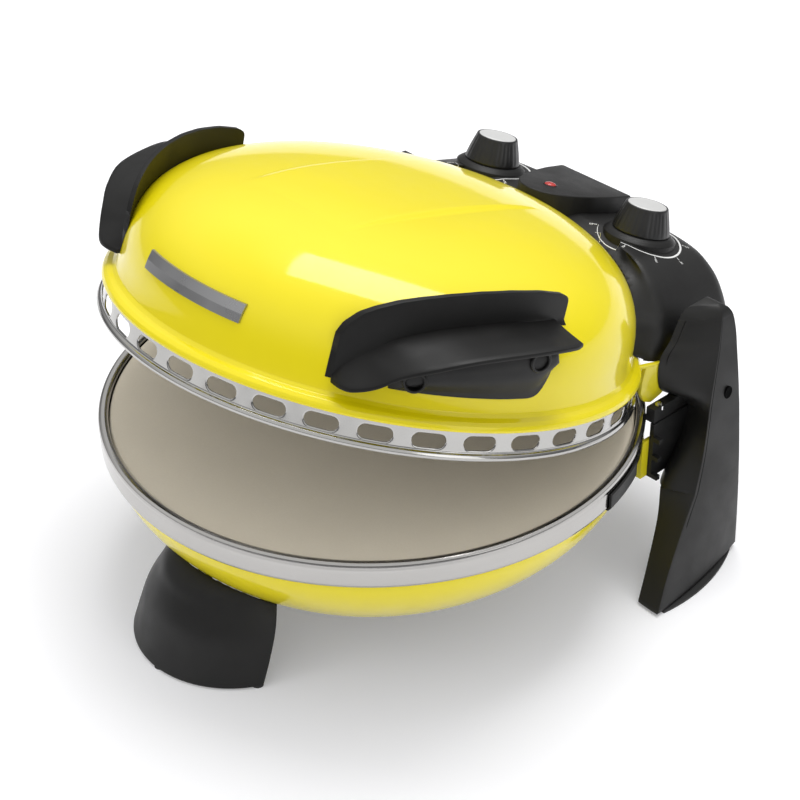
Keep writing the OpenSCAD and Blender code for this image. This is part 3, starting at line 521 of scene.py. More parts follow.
# ---------------------------------------------------------------- slotted ring
def slotted_ring():
    B = Build()
    ro, ri = 155.7, 154.75
    pitch = 10.4
    zc, zb, zt = 9.8, 4.0, 17.5
    hl, hr = 5.2, 4.15
    half = math.radians(pitch / 2) * ro
    edge = []
    nb, ns = 9, 6
    for i in range(nb):
        edge.append((-half + 2 * half * i / nb, zb - zc))
    for i in range(ns):
        edge.append((half, zb - zc + (zt - zb) * i / ns))
    for i in range(nb):
        edge.append((half - 2 * half * i / nb, zt - zc))
    for i in range(ns):
        edge.append((-half, zt - zc - (zt - zb) * i / ns))
    edge = np.array(edge)

    def stadium(d, r):
        d = d / np.linalg.norm(d)
        lo_, hi_ = 0.0, 40.0
        for _ in range(40):
            m = (lo_ + hi_) / 2
            q = d * m
            k = max(abs(q[0]) - hl, 0)
            if math.hypot(k, q[1]) < r:
                lo_ = m
            else:
                hi_ = m
        return d * lo_
    hole = np.array([stadium(d, hr) for d in edge])
    hole1 = np.array([stadium(d, hr + 0.35) for d in edge])
    hole2 = np.array([stadium(d, hr + 1.0) for d in edge])

    def place(q, a0, r):
        th = a0 + q[:, 0] / ro
        return np.column_stack([r * np.cos(th), r * np.sin(th), q[:, 1] + zc])
    for k in range(13):
        for s in (-1, 1):
            a0 = math.radians(-90 + s * pitch * (k + 0.5))
            rows = [place(edge, a0, ro), place(hole2, a0, ro), place(hole1, a0, ro - 0.05), place(hole, a0, ro - 0.35),
                    place(hole, a0, ri), place(hole2, a0, ri), place(edge, a0, ri)]
            B.grid(np.array(rows), wrap_c=True)
    # plain ends beside the gap at the back
    e0, e1 = pitch * 13, 144.0
    for s in (-1, 1):
        a = np.radians(np.linspace(-90 + s * e0, -90 + s * e1, 9))
        q = [(ro, zb), (ro, zt), (ri, zt), (ri, zb)]
        P = np.array([[(r * math.cos(t), r * math.sin(t), z) for r, z in q] for t in a])
        B.grid(P, wrap_c=True)
        B.poly(P[-1])
    # rounded upper lip under the flange
    # rolled bead along the lower edge
    bead = rounded([(154.75, 5.4), (155.75, 5.4), (155.9, 4.3), (157.3, 3.7), (158.15, 2.2), (157.6, 0.7), (156.4, 0.0),
                    (155.3, 0.25), (154.75, 1.3)], 0.9, 4)
    C = revolve(bead, 230, -90 - 144, -90 + 144)
    B.add(C.v, C.f)
    lip = rounded([(154.75, 17.45), (154.75, 18.2), (155.3, 18.6), (155.95, 18.2), (155.95, 17.3), (155.7, 16.8), (154.75, 16.8)], 0.3, 2)
    D = revolve(lip, 230, -90 - 144, -90 + 144)
    B.add(D.v, D.f)
    return B


piece("lid_vent_ring", slotted_ring(), "L", "lid", RINGSTEEL, ["lid_slotted_ring"], angle=40)

# ---------------------------------------------------------------- base
rim = rounded([(155.3, 0.7), (155.2, 2.4), (156.0, 3.6), (157.4, 4.2), (159.2, 4.3), (160.7, 3.5), (161.25, 2.0), (160.9, 0.2),
               (161.0, -1.2), (161.0, -9.8), (160.5, -11.2), (159.6, -11.6), (150.2, -11.6), (150.2, -10.6),
               (159.3, -10.6), (159.9, -9.6), (159.9, -0.2), (158.6, 0.7)], 0.55, 3)
piece("base_steel_band", revolve(rim, 256), "B", "base", STEEL, ["steel_rim"], angle=50)


def bowl_r(h):
    return 157 * (1 - (h / 100) ** 1.62) ** (1 / 1.62)


def bowl():
    side = [(bowl_r(h), -13.1 - h) for h in np.linspace(0.8, 62, 44)]
    top = [(150.2, -13.1), (156.4, -13.1)]
    foot = rounded([side[-1], (100.5, -77.3), (0.0, -77.3)], 9, 6, closed=False)[1:]
    outer = top + side[:-1] + [tuple(q) for q in foot]
    inner = [(0.0, -75.9), (95, -75.9)] + [(r - 1.4, z + 0.4) for r, z in side[::-1]] + [(155.0, -14.5), (150.2, -14.5)]
    B = revolve(outer + inner, 192)
    return B


tray = piece("base_bowl_skin", bowl(), "B", "base", YELLOW, ["base_bowl"], angle=50)
tray.visible_diffuse = False

stone = rounded([(0.0, 1.5), (153.6, 1.5), (154.6, 0.5), (154.6, -9.4), (153.6, -10.5), (0.0, -10.5)],
                [0, 0.8, 0.5, 0.5, 0.8, 0], 3)
stone_prof = [tuple(q) for q in stone]
dense = [(r, 1.5) for r in np.linspace(0.0, 152.0, 60)]
stone_prof = dense + [q for q in stone_prof if q[0] > 152.5] + [(152.0, -10.5), (0.0, -10.5)]
piece("pizza_stone", revolve(stone_prof, 160), "B", "base", STONE, ["baking_stone"], angle=50)

clamp = rounded([(161.35, -1), (162.7, -1.6), (162.8, -10.6), (161, -13.0), (157.4, -13.0), (157.4, -11.9),
                 (160.4, -11.9), (161.35, -10.2)], 0.4, 2)
C = Build()
for s in (12, 155):
    D = revolve(clamp, 20, s, s + 13)
    C.add(D.v, D.f)
piece("band_clips", C, "B", "base", BLACK, ["rim_clamps"], bevel=0.2)

# ---------------------------------------------------------------- handles
SHELF = [[[87.4, -119.6, 34], [89.7, -121.6, 32.4]], [[90.0, -117.0, 40.0], [98.0, -123.0, 32.6]],
         [[92.5, -113.5, 44.5], [105.9, -121.3, 33.7]], [[95.0, -110.5, 47.6], [115.1, -115.2, 38.4]],
         [[97.1, -107.4, 50], [124.1, -108, 46.4]], [[104.8, -96, 58.5], [136, -97, 53.9]],
         [[116, -75, 65.5], [148.1, -79, 61.4]], [[126.1, -47, 69.5], [159.7, -44, 66.7]],
         [[131.0, -20, 70.0], [160.6, -22, 67.0]], [[132.3, -9, 70.0], [158.5, -14, 67]]]
FIN_X, FIN_R = -52.0, 186.0


def fin():
    top = rounded([(-120.4, 50), (-120.2, 56), (-118, 62.1), (-113, 68.7), (-107, 72.9), (-98, 77.4), (-88.5, 80.4),
                   (-75, 83.4), (-59, 85.6), (-42, 86.5), (-23, 86.0), (-7.5, 83.8), (-2.4, 81.4), (-2.0, 77)],
                  [0, 2, 5, 8, 14, 18, 20, 30, 30, 30, 30, 4.5, 4, 0], 5, closed=False)
    low = [(-120.5, 31.8), (-118.5, 35.0), (-113, 43), (-107, 49), (-97, 56.6), (-76, 63.4), (-48, 67), (-20, 67.2), (-2, 66.5)]
    n = 72
    T = resample(top, n, closed=False)
    Lw = smooth_curve(low, 200)
    Lw = resample(Lw, n, closed=False)
    rows_o, rows_i = [], []
    k = 10
    for j in range(n):
        for rad, rows in ((FIN_R, rows_o), (FIN_R - 3.0, rows_i)):
            col = []
            for t in np.linspace(0, 1, k):
                y = Lw[j][0] * (1 - t) + T[j][0] * t
                z = Lw[j][1] * (1 - t) + T[j][1] * t
                x = FIN_X + math.sqrt(rad ** 2 - (y - 1.4) ** 2)
                col.append((x, y, z))
            rows.append(col)
    o, i = np.array(rows_o), np.array(rows_i)
    ring = np.concatenate([o, i[:, ::-1]], axis=1)
    B = Build().grid(ring, wrap_c=True)
    B.grid(np.stack([o[0], i[0]]))
    B.grid(np.stack([o[-1], i[-1]]))
    return B


def shelf():
    n = 64
    A = smooth_curve([s[0] for s in SHELF], n)
    O = smooth_curve([s[1] for s in SHELF], n)
    rows = []
    for j in range(n):
        a, o = A[j], O[j]
        d = o - a
        w = np.linalg.norm(d)
        d = d / max(w, 1e-6)
        up = np.array([0, 0, 1.0])
        top, bot = [], []
        inner = a - d * 2.2
        for t in np.linspace(0, 1, 11):
            q = inner + (o - inner) * t
            sag = 1.1 * math.sin(math.pi * min(1, t)) * min(1, w / 20)
            th = 3.0 - 0.7 * t
            top.append(q - up * sag * 0.45)
            bot.append(q - up * (th + sag * 0.45))
        # rounded outer edge
        edge = [o + d * 0.55 * math.sin(b) + up * (-1.15 + 1.15 * math.cos(b)) for b in np.radians([30, 60, 90, 120, 150])]
        rows.append(top[:-1] + [o] + edge + bot[::-1])
    P = np.array(rows)
    B = Build().grid(P, wrap_c=True)
    B.poly(P[0][::-1])
    B.poly(P[-1])
    return B


def push_out(B, gap=0.3):
    """Keeps a piece clear of the dome: points inside it move out to its surface."""
    out = []
    for x, y, z in B.v:
        r = math.hypot(x, y)
        R = float(dome_r(z)) + gap
        if z < 23:
            R = 158.0 + gap
        if r < R and 16 < z < 94:
            x, y = x * R / r, y * R / r
        out.append((x, y, z))
    B.v = out
    return B


piece("handle_guard_right", push_out(fin()), "L", "lid", BLACK, ["handle_right"], bevel=0.9, seg=3, bevel_angle=50)
piece("handle_guard_left", push_out(mirrored(fin())), "L", "lid", BLACK, ["handle_left"], bevel=0.9, seg=3, bevel_angle=50)
piece("handle_grip_right", shelf(), "L", "lid", BLACK, (), bevel=0.4, seg=2, bevel_angle=50)
piece("handle_grip_left", mirrored(shelf()), "L", "lid", BLACK, (), bevel=0.4, seg=2, bevel_angle=50)


def handle_foot():
    """The plate under the grip, which follows the dome."""
    B = Build()
    low = [(-101, 33), (-86, 33), (-60, 33), (-42, 33), (-29, 34), (-22, 42), (-15.5, 54)]
    top = [(-101, 36), (-98, 43.5), (-90, 48.5), (-75, 53.5), (-45, 60), (-30, 61.3), (-16.5, 61.5)]
    n, k = 56, 12
    Lw, T = resample(smooth_curve(low, 200), n, closed=False), resample(smooth_curve(top, 200), n, closed=False)
    def pt(y, z, r):
        return (math.sqrt(max(r * r - y * y, 1)), y, z)
    o, i = [], []
    for j in range(n):
        co, ci = [], []
        for t in np.linspace(0, 1, k):
            y = Lw[j][0] * (1 - t) + T[j][0] * t
            z = Lw[j][1] * (1 - t) + T[j][1] * t
            # swells out from the dome and rounds off at its border
            edge = min(1.0, 1.6 * t + 0.12, 6 * (1 - t) + 0.3, j / 5 + 0.25, (n - 1 - j) / 7 + 0.25)
            ro = float(dome_r(z)) + 0.4 + (153.6 - float(dome_r(z))) * sstep(np.array(edge)) if True else 0
            ci.append(pt(y, z, float(dome_r(z)) + 0.3))
            co.append(pt(y, z, max(ro, float(dome_r(z)) + 1.0)))
        o.append(co)
        i.append(ci)
    o, i = np.array(o), np.array(i)
    ring = np.concatenate([o, i[:, ::-1]], axis=1)
    B.grid(ring, wrap_c=True)
    B.grid(np.stack([o[0], i[0]]))
    B.grid(np.stack([o[-1], i[-1]]))
    return B


def handle_bosses():
    B = Build()
    for a, z in ((-38, 40.5), (-13, 56)):
        c, s = math.cos(math.radians(a)), math.sin(math.radians(a))
        prof = rounded([(4.6, 0), (6.4, 0), (6.4, 26.2), (5.9, 27.0), (4.9, 27.0), (4.6, 26.4)], 0.4, 3)
        D = turned((128.5 * c, 128.5 * s, z), (c, s, 0), prof, 40)
        B.add(D.v, D.f)
    return B


def handle_bolts():
    B = Build()
    for a, z in ((-38, 40.5), (-13, 56)):
        c, s = math.cos(math.radians(a)), math.sin(math.radians(a))
        prof = rounded([(0, 20), (3.9, 20), (3.9, 24.2), (3.4, 24.8), (1.6, 24.9), (1.5, 23.6), (0, 23.6)],
                       [0, 0.2, 0.5, 0.4, 0.2, 0.1, 0], 3)
        D = turned((128.5 * c, 128.5 * s, z), (c, s, 0), prof, 32)
        B.add(D.v, D.f)
    return B


hf = handle_foot()
hb = handle_bosses()
hf.add(hb.v, hb.f)
piece("handle_mount_right", hf, "L", "lid", BLACK_SOFT, ["handle_base_right"])
piece("handle_mount_left", mirrored(hf), "L", "lid", BLACK_SOFT, ["handle_base_left"])
piece("handle_bolts", handle_bolts().both(), "L", "lid", BLACK_DARK, ["handle_screws"])


# ---------------------------------------------------------------- control housing
HOUSE = [[21, 95, 117.5, 1.0], [32, 96, 117.2, 1.6], [45, 97, 114, 3.0], [58, 107, 106, 5.2], [66, 116, 97.5, 7.4],
         [72, 126, 87, 10.4], [76, 137, 71, 15.5]]


def plan(f, w, b, n=240):
    g = min(121.0, f + 22)
    half = [(0, f), (w - 16, f), (w - 2.2, g - 5), (w, g), (w, 152), (w - 0.6, 182.8 - b), (w - 2.4, 187.7 - b),
            (w - 6, 190.9 - b), (w - 12, 193 - b), (w - 24, 194.6 - b), (w - 40, 195.4 - b), (0, 195.6 - b)]
    rr = [0, 16, 4.0, 3.0, 20, 14, 9, 9, 12, 20, 30, 0]
    pts = half + [(-x, y) for x, y in half[::-1][1:-1]]
    rs = rr + rr[::-1][1:-1]
    P = rounded(pts, rs, 6)
    P = resample(P, n)
    return P


def house_at(z):
    q = smooth_curve(HOUSE, 160)
    return [float(np.interp(z, q[:, 0], q[:, k])) for k in (1, 2, 3)]


def house_rows():
    rows = []
    for z in np.linspace(21.0, 75.0, 46):
        f, w, b = house_at(z)
        rows.append(np.column_stack([plan(f, w, b), np.full(240, z)]))
    # rounding over the top edge and in to the middle of the panel
    f, w, b = house_at(75.0)
    edge = plan(f, w, b)
    core = np.column_stack([np.clip(edge[:, 0], -40, 40), np.full(240, 158.0)])
    for t, dz in ((0.03, 0.28), (0.07, 0.5), (0.13, 0.72), (0.2, 0.86), (0.3, 0.96), (0.45, 1.0), (0.7, 1.0), (1.0, 1.0)):
        p = edge * (1 - t) + core * t
        rows.append(np.column_stack([p, np.full(240, 75.0 + dz)]))
    return np.array(rows)


WIDE = OPEN + math.radians(JOINT["lid_hinge"]["range_deg"][1])


def arch_z(x, y, R=167.4):
    """Lowest height on the rear wall that stays clear of the base when the lid is wide open."""
    if y < 165 or abs(x) >= R:
        return 0.0
    return PZ - RING + (math.sqrt(R * R - x * x) - PY - (y - PY) * math.cos(WIDE)) / math.sin(WIDE)


def housing():
    P = house_rows()
    B = Build().grid(P, wrap_c=True)
    # closed underneath by an inner skin
    Q = P[:44].copy()
    c = np.array([0, 150.0])
    for i in range(len(Q)):
        d = Q[i][:, :2] - c
        l = np.linalg.norm(d, axis=1)[:, None]
        Q[i][:, :2] = c + d * (1 - 2.4 / l)
    B.grid(np.stack([P[0], Q[0]]), wrap_c=True)
    B.grid(Q, wrap_c=True)
    top = Q[-1].copy()
    B.poly(top)
    push_out(B, 0.4)
    B.v = [(x, y, max(z, min(arch_z(x, y), 72.0))) for x, y, z in B.v]
    return B


hx = housing()
piece("control_housing_shell", hx, "L", "lid", BLACK_SOFT, ["control_housing"], angle=34)
house_tree = BVHTree.FromPolygons([Vector(v) for v in hx.v], hx.f)


def rear_y(x, z):
    hit = house_tree.ray_cast(Vector((x, 230.0, z)), Vector((0, -1, 0)))
    return hit[0].y if hit[0] is not None else 190.0


def louvres():
    """A block of raised louvres on the rear wall, above the middle of the base."""
    B = Build()
    for z in (58.6, 61.8, 65.0):
        rows = []
        xs = np.linspace(-44, 44, 45)
        for x in xs:
            k = min(1.0, (44 - abs(x)) / 1.6 + 0.12)
            y = rear_y(x, z)
            sec = [(-0.9, -0.5), (-0.9, 0.15), (-0.45, 0.75), (0.25, 1.0), (0.75, 0.8), (1.0, 0.2), (1.0, -0.5)]
            rows.append([(x, y + (d if d < 0 else d * k), z + h) for h, d in sec])
        P = np.array(rows)
        B.grid(P, wrap_c=True)
        B.poly(P[0][::-1])
        B.poly(P[-1])
    return B


def cover_seam():
    """The bead where the upper moulding meets the lower cover, round the rear and the sides."""
    B = Build()
    f, w, b = house_at(33.0)
    path = [p for p in plan(f, w, b, 480) if p[1] > 150]
    i = max(range(len(path)), key=lambda k: np.linalg.norm(path[k] - path[k - 1]))
    path = path[i:] + path[:i]
    d = np.gradient(np.array(path), axis=0)
    n = np.stack([d[:, 1], -d[:, 0]], -1)
    n /= np.maximum(np.linalg.norm(n, axis=1), 1e-9)[:, None]
    if (n * (np.array(path) - np.array([0, 120.0]))).sum() < 0:
        n = -n
    rows = []
    for q, m in zip(path, n):
        z0 = max(33.0, arch_z(q[0], q[1]) + 1.4)
        f2, w2, b2 = house_at(z0)
        q = (q[0] * w2 / w, q[1] - (b2 - b) * min(1.0, max(0.0, (q[1] - 160) / 22)))
        rows.append([(q[0] + m[0] * o, q[1] + m[1] * o, z0 + h)
                     for o, h in ((-0.4, -0.75), (0.15, -0.7), (0.42, -0.35), (0.42, 0.35), (0.15, 0.7), (-0.4, 0.75))])
    P = np.array(rows)
    B.grid(P, wrap_c=True)
    B.poly(P[0][::-1])
    B.poly(P[-1])
    return B


piece("housing_louvres", louvres(), "L", "lid", BLACK, (), angle=50)
piece("housing_seam_bead", cover_seam(), "L", "lid", BLACK, (), angle=50)


def drop(x, y, lift=0.0, z0=120.0):
    hit = house_tree.ray_cast(Vector((x, y, z0)), Vector((0, 0, -1)))
    z = hit[0].z if hit[0] is not None else 76.0
    return z + lift


# raised middle panel
CP = [(29, 177), (27.8, 160), (25, 145), (21, 131.5), (16, 120.8), (9, 113.8), (0, 111.4)]
cp = CP + [(-x, y) for x, y in CP[::-1][1:]]
cp = rounded(cp, [1.5, 30, 30, 20, 16, 12, 10, 12, 16, 20, 30, 30, 1.5], 5)
body = extrude(resample(cp, 160), 70.0, 86.5, bevel=0.7, steps=4)
# closed shell down to the dome and to the housing
out = []
for x, y, z in body.v:
    if z < 73:
        r = math.hypot(x, y)
        zz = float(dome_z(np.array(r))) + 0.5 if r < 140 else 0
        zz = max(zz, 75.0 if y > 139 else 68.0)
        z = max(min(zz, 84.0), 60.0)
    out.append((x, y, z))
body.v = out
piece("middle_panel", body, "L", "lid", BLACK_SOFT, ["centre_panel"], angle=34)

lens = turned((0, 132.2, 84.3), (0, 0, 1), rounded([(0, 0), (3.7, 0), (3.7, 2.3), (3.2, 3.0), (1.8, 3.5), (0, 3.7)],
                                                    [0, 0.2, 0.8, 1.5, 2.5, 0], 4), 40)
lens.v = [(x * 1.0, y, z) for x, y, z in lens.v]
piece("lamp_lens", lens, "L", "lid", LENS, ["pilot_lens"])
bez = turned((0, 132.2, 86.4), (0, 0, 1), rounded([(3.72, -0.6), (4.6, -0.6), (4.6, 0.15), (4.2, 0.5), (3.72, 0.4)], 0.2, 3), 48)
piece("lamp_bezel", bez, "L", "lid", BLACK, ())

# ---------------------------------------------------------------- knobs
KX, KY = 62.2, 148.0


def knob(x0):
    n = 288
    prof = [(10.0, 80.2), (16.4, 79.3), (17.2, 79.3), (17.45, 79.9)] + \
        [(17.4 - 4.2 * t ** 1.15, 80.2 + 14.6 * t) for t in np.linspace(0.02, 1, 16)] + \
        [(13.1, 95.1), (12.9, 95.45), (12.5, 95.6), (12.05, 95.45), (11.95, 95.0), (0.0, 95.0)]
    ang = np.linspace(0, 2 * np.pi, n, endpoint=False)
    P = []
    for a in ang:
        row = []
        for r, z in prof:
            depth = 0.0
            if 80.3 < z < 94.6 and r > 12:
                k = min(1, (z - 80.3) / 1.2, (94.6 - z) / 1.5)
                depth = 0.2 * k * (0.5 - 0.5 * math.cos(24 * a)) ** 2
            rr = r - depth
            row.append((x0 + rr * math.cos(a), KY + rr * math.sin(a), z))
        P.append(row)
    P = np.array(P)
    B = Build().grid(P, wrap_r=True)
    under = P[:, 0]
    B.poly(under[::-1])
    return B


def cap(x0):
    prof = rounded([(0, 0), (11.75, 0), (11.75, 0.55), (11.3, 0.8), (0, 0.9)], [0, 0.1, 0.3, 0.5, 0], 3)
    return turned((x0, KY, 95.0), (0, 0, 1), prof, 96)


def flare(x0):
    prof = rounded([(14.0, 75.0), (22.4, 75.4), (22.0, 76.4), (20.2, 77.9), (18.4, 79.0), (17.6, 79.1), (14.0, 79.1)],
                   [0, 0.3, 1.2, 4, 1.0, 0.3, 0], 4)
    B = turned((x0, KY, 0), (0, 0, 1), prof, 96)
    out = []
    for x, y, z in B.v:
        if z < 76.6:
            z = min(z, drop(x, y, -0.3) if z < 75.8 else z)
        out.append((x, y, z))
    B.v = out
    return B


piece("thermostat_grip", knob(KX), "L", "thermostat", KNOB, ["thermostat_knob"], angle=45)
piece("timer_grip", knob(-KX), "L", "timer", KNOB, ["timer_knob"], angle=45)
piece("thermostat_disc", cap(KX), "L", "thermostat", CAP, ["thermostat_cap"])
piece("timer_disc", cap(-KX), "L", "timer", CAP, ["timer_cap"])
fl = flare(KX)
f2 = flare(-KX)
fl.add(f2.v, f2.f)
piece("dial_collars", fl, "L", "lid", BLACK, ["dial_rings"])


# printed scales beside the dials: a thin arc that widens clockwise, with short strokes
def ribbon(left, right, lift=0.07):
    """A thin skin of ink that lies on the housing between two edges."""
    rows = []
    for (ax, ay), (bx, by) in zip(left, right):
        row = []
        for t in np.linspace(0, 1, 3):
            x, y = ax + (bx - ax) * t, ay + (by - ay) * t
            row.append((x, y, drop(x, y, lift)))
        row += [(x, y, z - lift - 0.04) for x, y, z in row[::-1]]
        rows.append(row)
    P = np.array(rows)
    B = Build().grid(P, wrap_c=True)
    B.poly(P[0][::-1])
    B.poly(P[-1])
    return B


def polar(x0, r, a):
    a = math.radians(a)
    return x0 + r * math.cos(a), KY + r * math.sin(a)


def digit(ch, x, y, h, a):
    """A plain seven-bar figure, drawn as short bars of ink; a is its upward direction."""
    bars = {"0": "abcdef", "1": "bc", "2": "abged", "3": "abgcd", "4": "fgbc", "5": "afgcd", "6": "afgecd"}[ch]
    w = 0.55 * h
    P = {"a": ((0, h), (w, h)), "b": ((w, h / 2), (w, h)), "c": ((w, 0), (w, h / 2)), "d": ((0, 0), (w, 0)),
         "e": ((0, 0), (0, h / 2)), "f": ((0, h / 2), (0, h)), "g": ((0, h / 2), (w, h / 2))}
    ca, sa = math.cos(math.radians(a - 90)), math.sin(math.radians(a - 90))
    B = Build()
    for k in bars:
        (x1, y1), (x2, y2) = P[k]
        d = np.array([x2 - x1, y2 - y1]) / max(math.hypot(x2 - x1, y2 - y1), 1e-6)
        nrm = np.array([-d[1], d[0]]) * 0.16
        p1, p2 = np.array([x1, y1]) - d * 0.14, np.array([x2, y2]) + d * 0.14
        L_, R_ = [], []
        for t in np.linspace(0, 1, 4):
            q = p1 + (p2 - p1) * t - np.array([w / 2, h / 2])
            for side, out_ in ((1, L_), (-1, R_)):
                v = q + nrm * side
                out_.append((x + v[0] * ca - v[1] * sa, y + v[0] * sa + v[1] * ca))
        D = ribbon(L_, R_)
        B.add(D.v, D.f)
    return B


def dial_print(x0, a0, a1, figures):
    B = Build()
    n = 64
    A = np.linspace(a0, a1, n)
    r = 25.2
    wide = 0.25 + 1.25 * np.linspace(0, 1, n)
    wide[:3] *= (0.5, 0.8, 1.0)
    D = ribbon([polar(x0, r + w, a) for w, a in zip(wide, A)], [polar(x0, r, a) for a in A])
    B.add(D.v, D.f)
    for k, ch in enumerate(figures):
        a = a0 + (a1 - a0) * k / (len(figures) - 1)
        h = 0.5
        base_r = r + 0.9 + 1.25 * k / (len(figures) - 1)
        q = [polar(x0, rr, a) for rr in np.linspace(base_r, base_r + 1.9, 4)]
        t = np.array([-math.sin(math.radians(a)), math.cos(math.radians(a))]) * 0.22
        D = ribbon([(x + t[0], y + t[1]) for x, y in q], [(x - t[0], y - t[1]) for x, y in q])
        B.add(D.v, D.f)
        cx, cy = polar(x0, base_r + 3.6, a)
        D = digit(ch, cx, cy, 2.0, a)
        B.add(D.v, D.f)
    return B


pr_r = dial_print(KX, -150.0, 92.0, "0123456")
piece("dial_scale_right", pr_r, "L", "lid", PRINT, ())
pr_l = dial_print(-KX, -112.0, 95.0, "012345")
piece("dial_scale_left", pr_l, "L", "lid", PRINT, ())

# ---------------------------------------------------------------- legs
LEG = [
    # z, inner front x y, middle front x y, outer front x y, outer rear x, rear y
    [-104.2, 152.6, 73, 160, 72.3, 168.9, 72, 156.6, 159.5],
    [-85, 148.5, 84, 156, 83, 165, 82.7, 155.7, 159.5],
    [-61, 142.3, 98, 150, 98.5, 160, 99.9, 154.2, 159.5],
    [-44.6, 136.5, 106, 145, 110, 155.8, 114.5, 152.8, 159.5],
    [-43.6, 121.6, 131, 136.6, 106.5, 155.6, 115, 152.8, 159.5],
    [-25, 121.6, 135.5, 137, 122, 152, 123.8, 150.9, 159.5],
    [-5, 121.6, 137.5, 136, 133, 149.2, 129.3, 148.6, 159.5],
    [4, 121.6, 128.5, 135, 131, 148, 131.3, 147.3, 159.5],
    [15, 121.6, 116, 134, 123, 146.3, 134.6, 145.7, 159.5],
    [34, 121.6, 114.5, 132, 126.5, 142.2, 142.2, 142.4, 159.5],
    [44, 121.6, 122.5, 131, 133, 140.4, 145.1, 140.6, 159.5],
    [54, 121.6, 128.0, 130, 137.5, 138.6, 147.5, 138.4, 158.5],
    [59, 121.6, 131.2, 129, 141, 136.8, 149.4, 136.4, 156.4],
    [62, 121.6, 134.5, 128, 143.6, 134.6, 149.8, 134.2, 154.5]]
LEG_T = 3.0


def leg_rows():
    low = smooth_curve(LEG[:4], 40)
    high = smooth_curve(LEG[4:], 100)
    return low, high


def leg_ring(q, kind, shrink=0.0):
    z, ix, iy, mx, my, ox, oy, rx, ry = [float(v) for v in q]
    iy, my, oy = iy + shrink * 0.5, my + shrink * 0.5, oy + shrink * 0.5
    ox, rx, ry = ox - shrink, rx - shrink, ry - shrink
    ix2 = ix + (shrink * 0.3 if kind != "low" else 0.0)
    t = LEG_T
    front = smooth_curve([(ix2, iy), (mx, my), (ox, oy)], 17)
    # the outer wall bulges; a fine groove runs along its front edge
    ss = [0.0, 0.035, 0.05, 0.056, 0.066, 0.074, 0.09] + list(np.linspace(0.12, 1.0, 23))
    outer, inner = [], []
    for u in ss:
        x, y = ox + (rx - ox) * u * u, oy + (ry - oy) * u
        d = 0.55 if 0.052 < u < 0.07 and -60 < z < 58 else 0.0
        outer.append((x - d, y))
        inner.append((x - t, max(y, oy + t) if u < 0.12 else y))
    cheek_o = [(ix2, ry + (iy - ry) * u) for u in np.linspace(0, 1, 8)[:-1]]
    cheek_i = [(ix2 + t, iy + t + (ry - iy - t) * u) for u in np.linspace(0, 1, 8)[1:]]
    if kind == "low":
        cheek_o = [(ix2, iy + t * (1 - u)) for u in np.linspace(0, 1, 8)[:-1]]
        cheek_i = [(ix2 + 0.02, iy + t + 0.02 * u) for u in np.linspace(0, 1, 8)[1:]]
    back = [(x, y + t) for x, y in front[::-1]]
    back = [(min(max(x, ix2 + (t if kind != "low" else 0.02)), ox - t), y) for x, y in back]
    if kind == "solid":
        n = len(inner) + len(back) + len(cheek_i)
        edge = [(rx + (ix2 - rx) * u, ry) for u in np.linspace(0, 1, n + 2)[1:-1]]
        ring = cheek_o + [tuple(p) for p in front[:-1]] + outer + edge
    else:
        ring = cheek_o + [tuple(p) for p in front[:-1]] + outer + inner[::-1] + back + cheek_i
    return [(x, y, z) for x, y in ring]


def leg():
    B = Build()
    low, high = leg_rows()
    rows = []
    for k, q in enumerate(low):
        e = 0.7 * (1 - math.sqrt(max(0, 1 - (k == 0))))
        rows.append(leg_ring(q, "low", e))
    for q in high:
        if q[0] < 55.0:
            rows.append(leg_ring(q, "box"))
    ref = [float(np.interp(55.2, high[:, 0], high[:, k])) for k in range(9)]
    rows.append(leg_ring(ref, "box"))
    ref[0] = 55.25
    rows.append(leg_ring(ref, "solid"))
    for z in (56.2, 57.1, 57.9, 58.6, 59.3, 59.9, 60.4, 60.9, 61.3, 61.6, 61.85, 62.0):
        q = [float(np.interp(z, high[:, 0], high[:, k])) for k in range(9)]
        q[0] = z
        k = max(0.0, (z - 58.4) / 3.6)
        rows.append(leg_ring(q, "solid", 3.0 * (1 - math.sqrt(max(0, 1 - k * k)))))
    P = np.array(rows)
    B.grid(P, wrap_c=True)
    B.poly(P[0][::-1])
    B.poly(P[-1])
    # rib between the foot of the hinge cover and the bracket
    rib = rounded([(122.6, -1.8), (140.0, -1.8), (140.0, 8.0), (122.6, 8.0)], 1.0, 3)
    R_ = extrude(rib, 122.6, 128.8, bevel=0.5, steps=2)
    R_.v = [(z, x, y) for x, y, z in R_.v]
    B.add(R_.v, R_.f)
    # boss for the pivot pin inside the leg, with its web
    boss = rounded([(3.05, 0), (8.4, 0), (8.4, 5.4), (7.6, 6.4), (3.05, 6.4)], 0.5, 3)
    D = turned((121.65, PY, PZ), (1, 0, 0), boss, 48)
    B.add(D.v, D.f)
    web = rounded([(121.8, PZ - 7), (PY - 3.2, PZ - 7), (PY - 3.2, PZ + 1), (121.8, PZ + 1)], 0.8, 3)
    E = extrude(web, 121.7, 127.9, bevel=0.5, steps=2)
    E.v = [(z, x, y) for x, y, z in E.v]
    B.add(E.v, E.f)
    return B


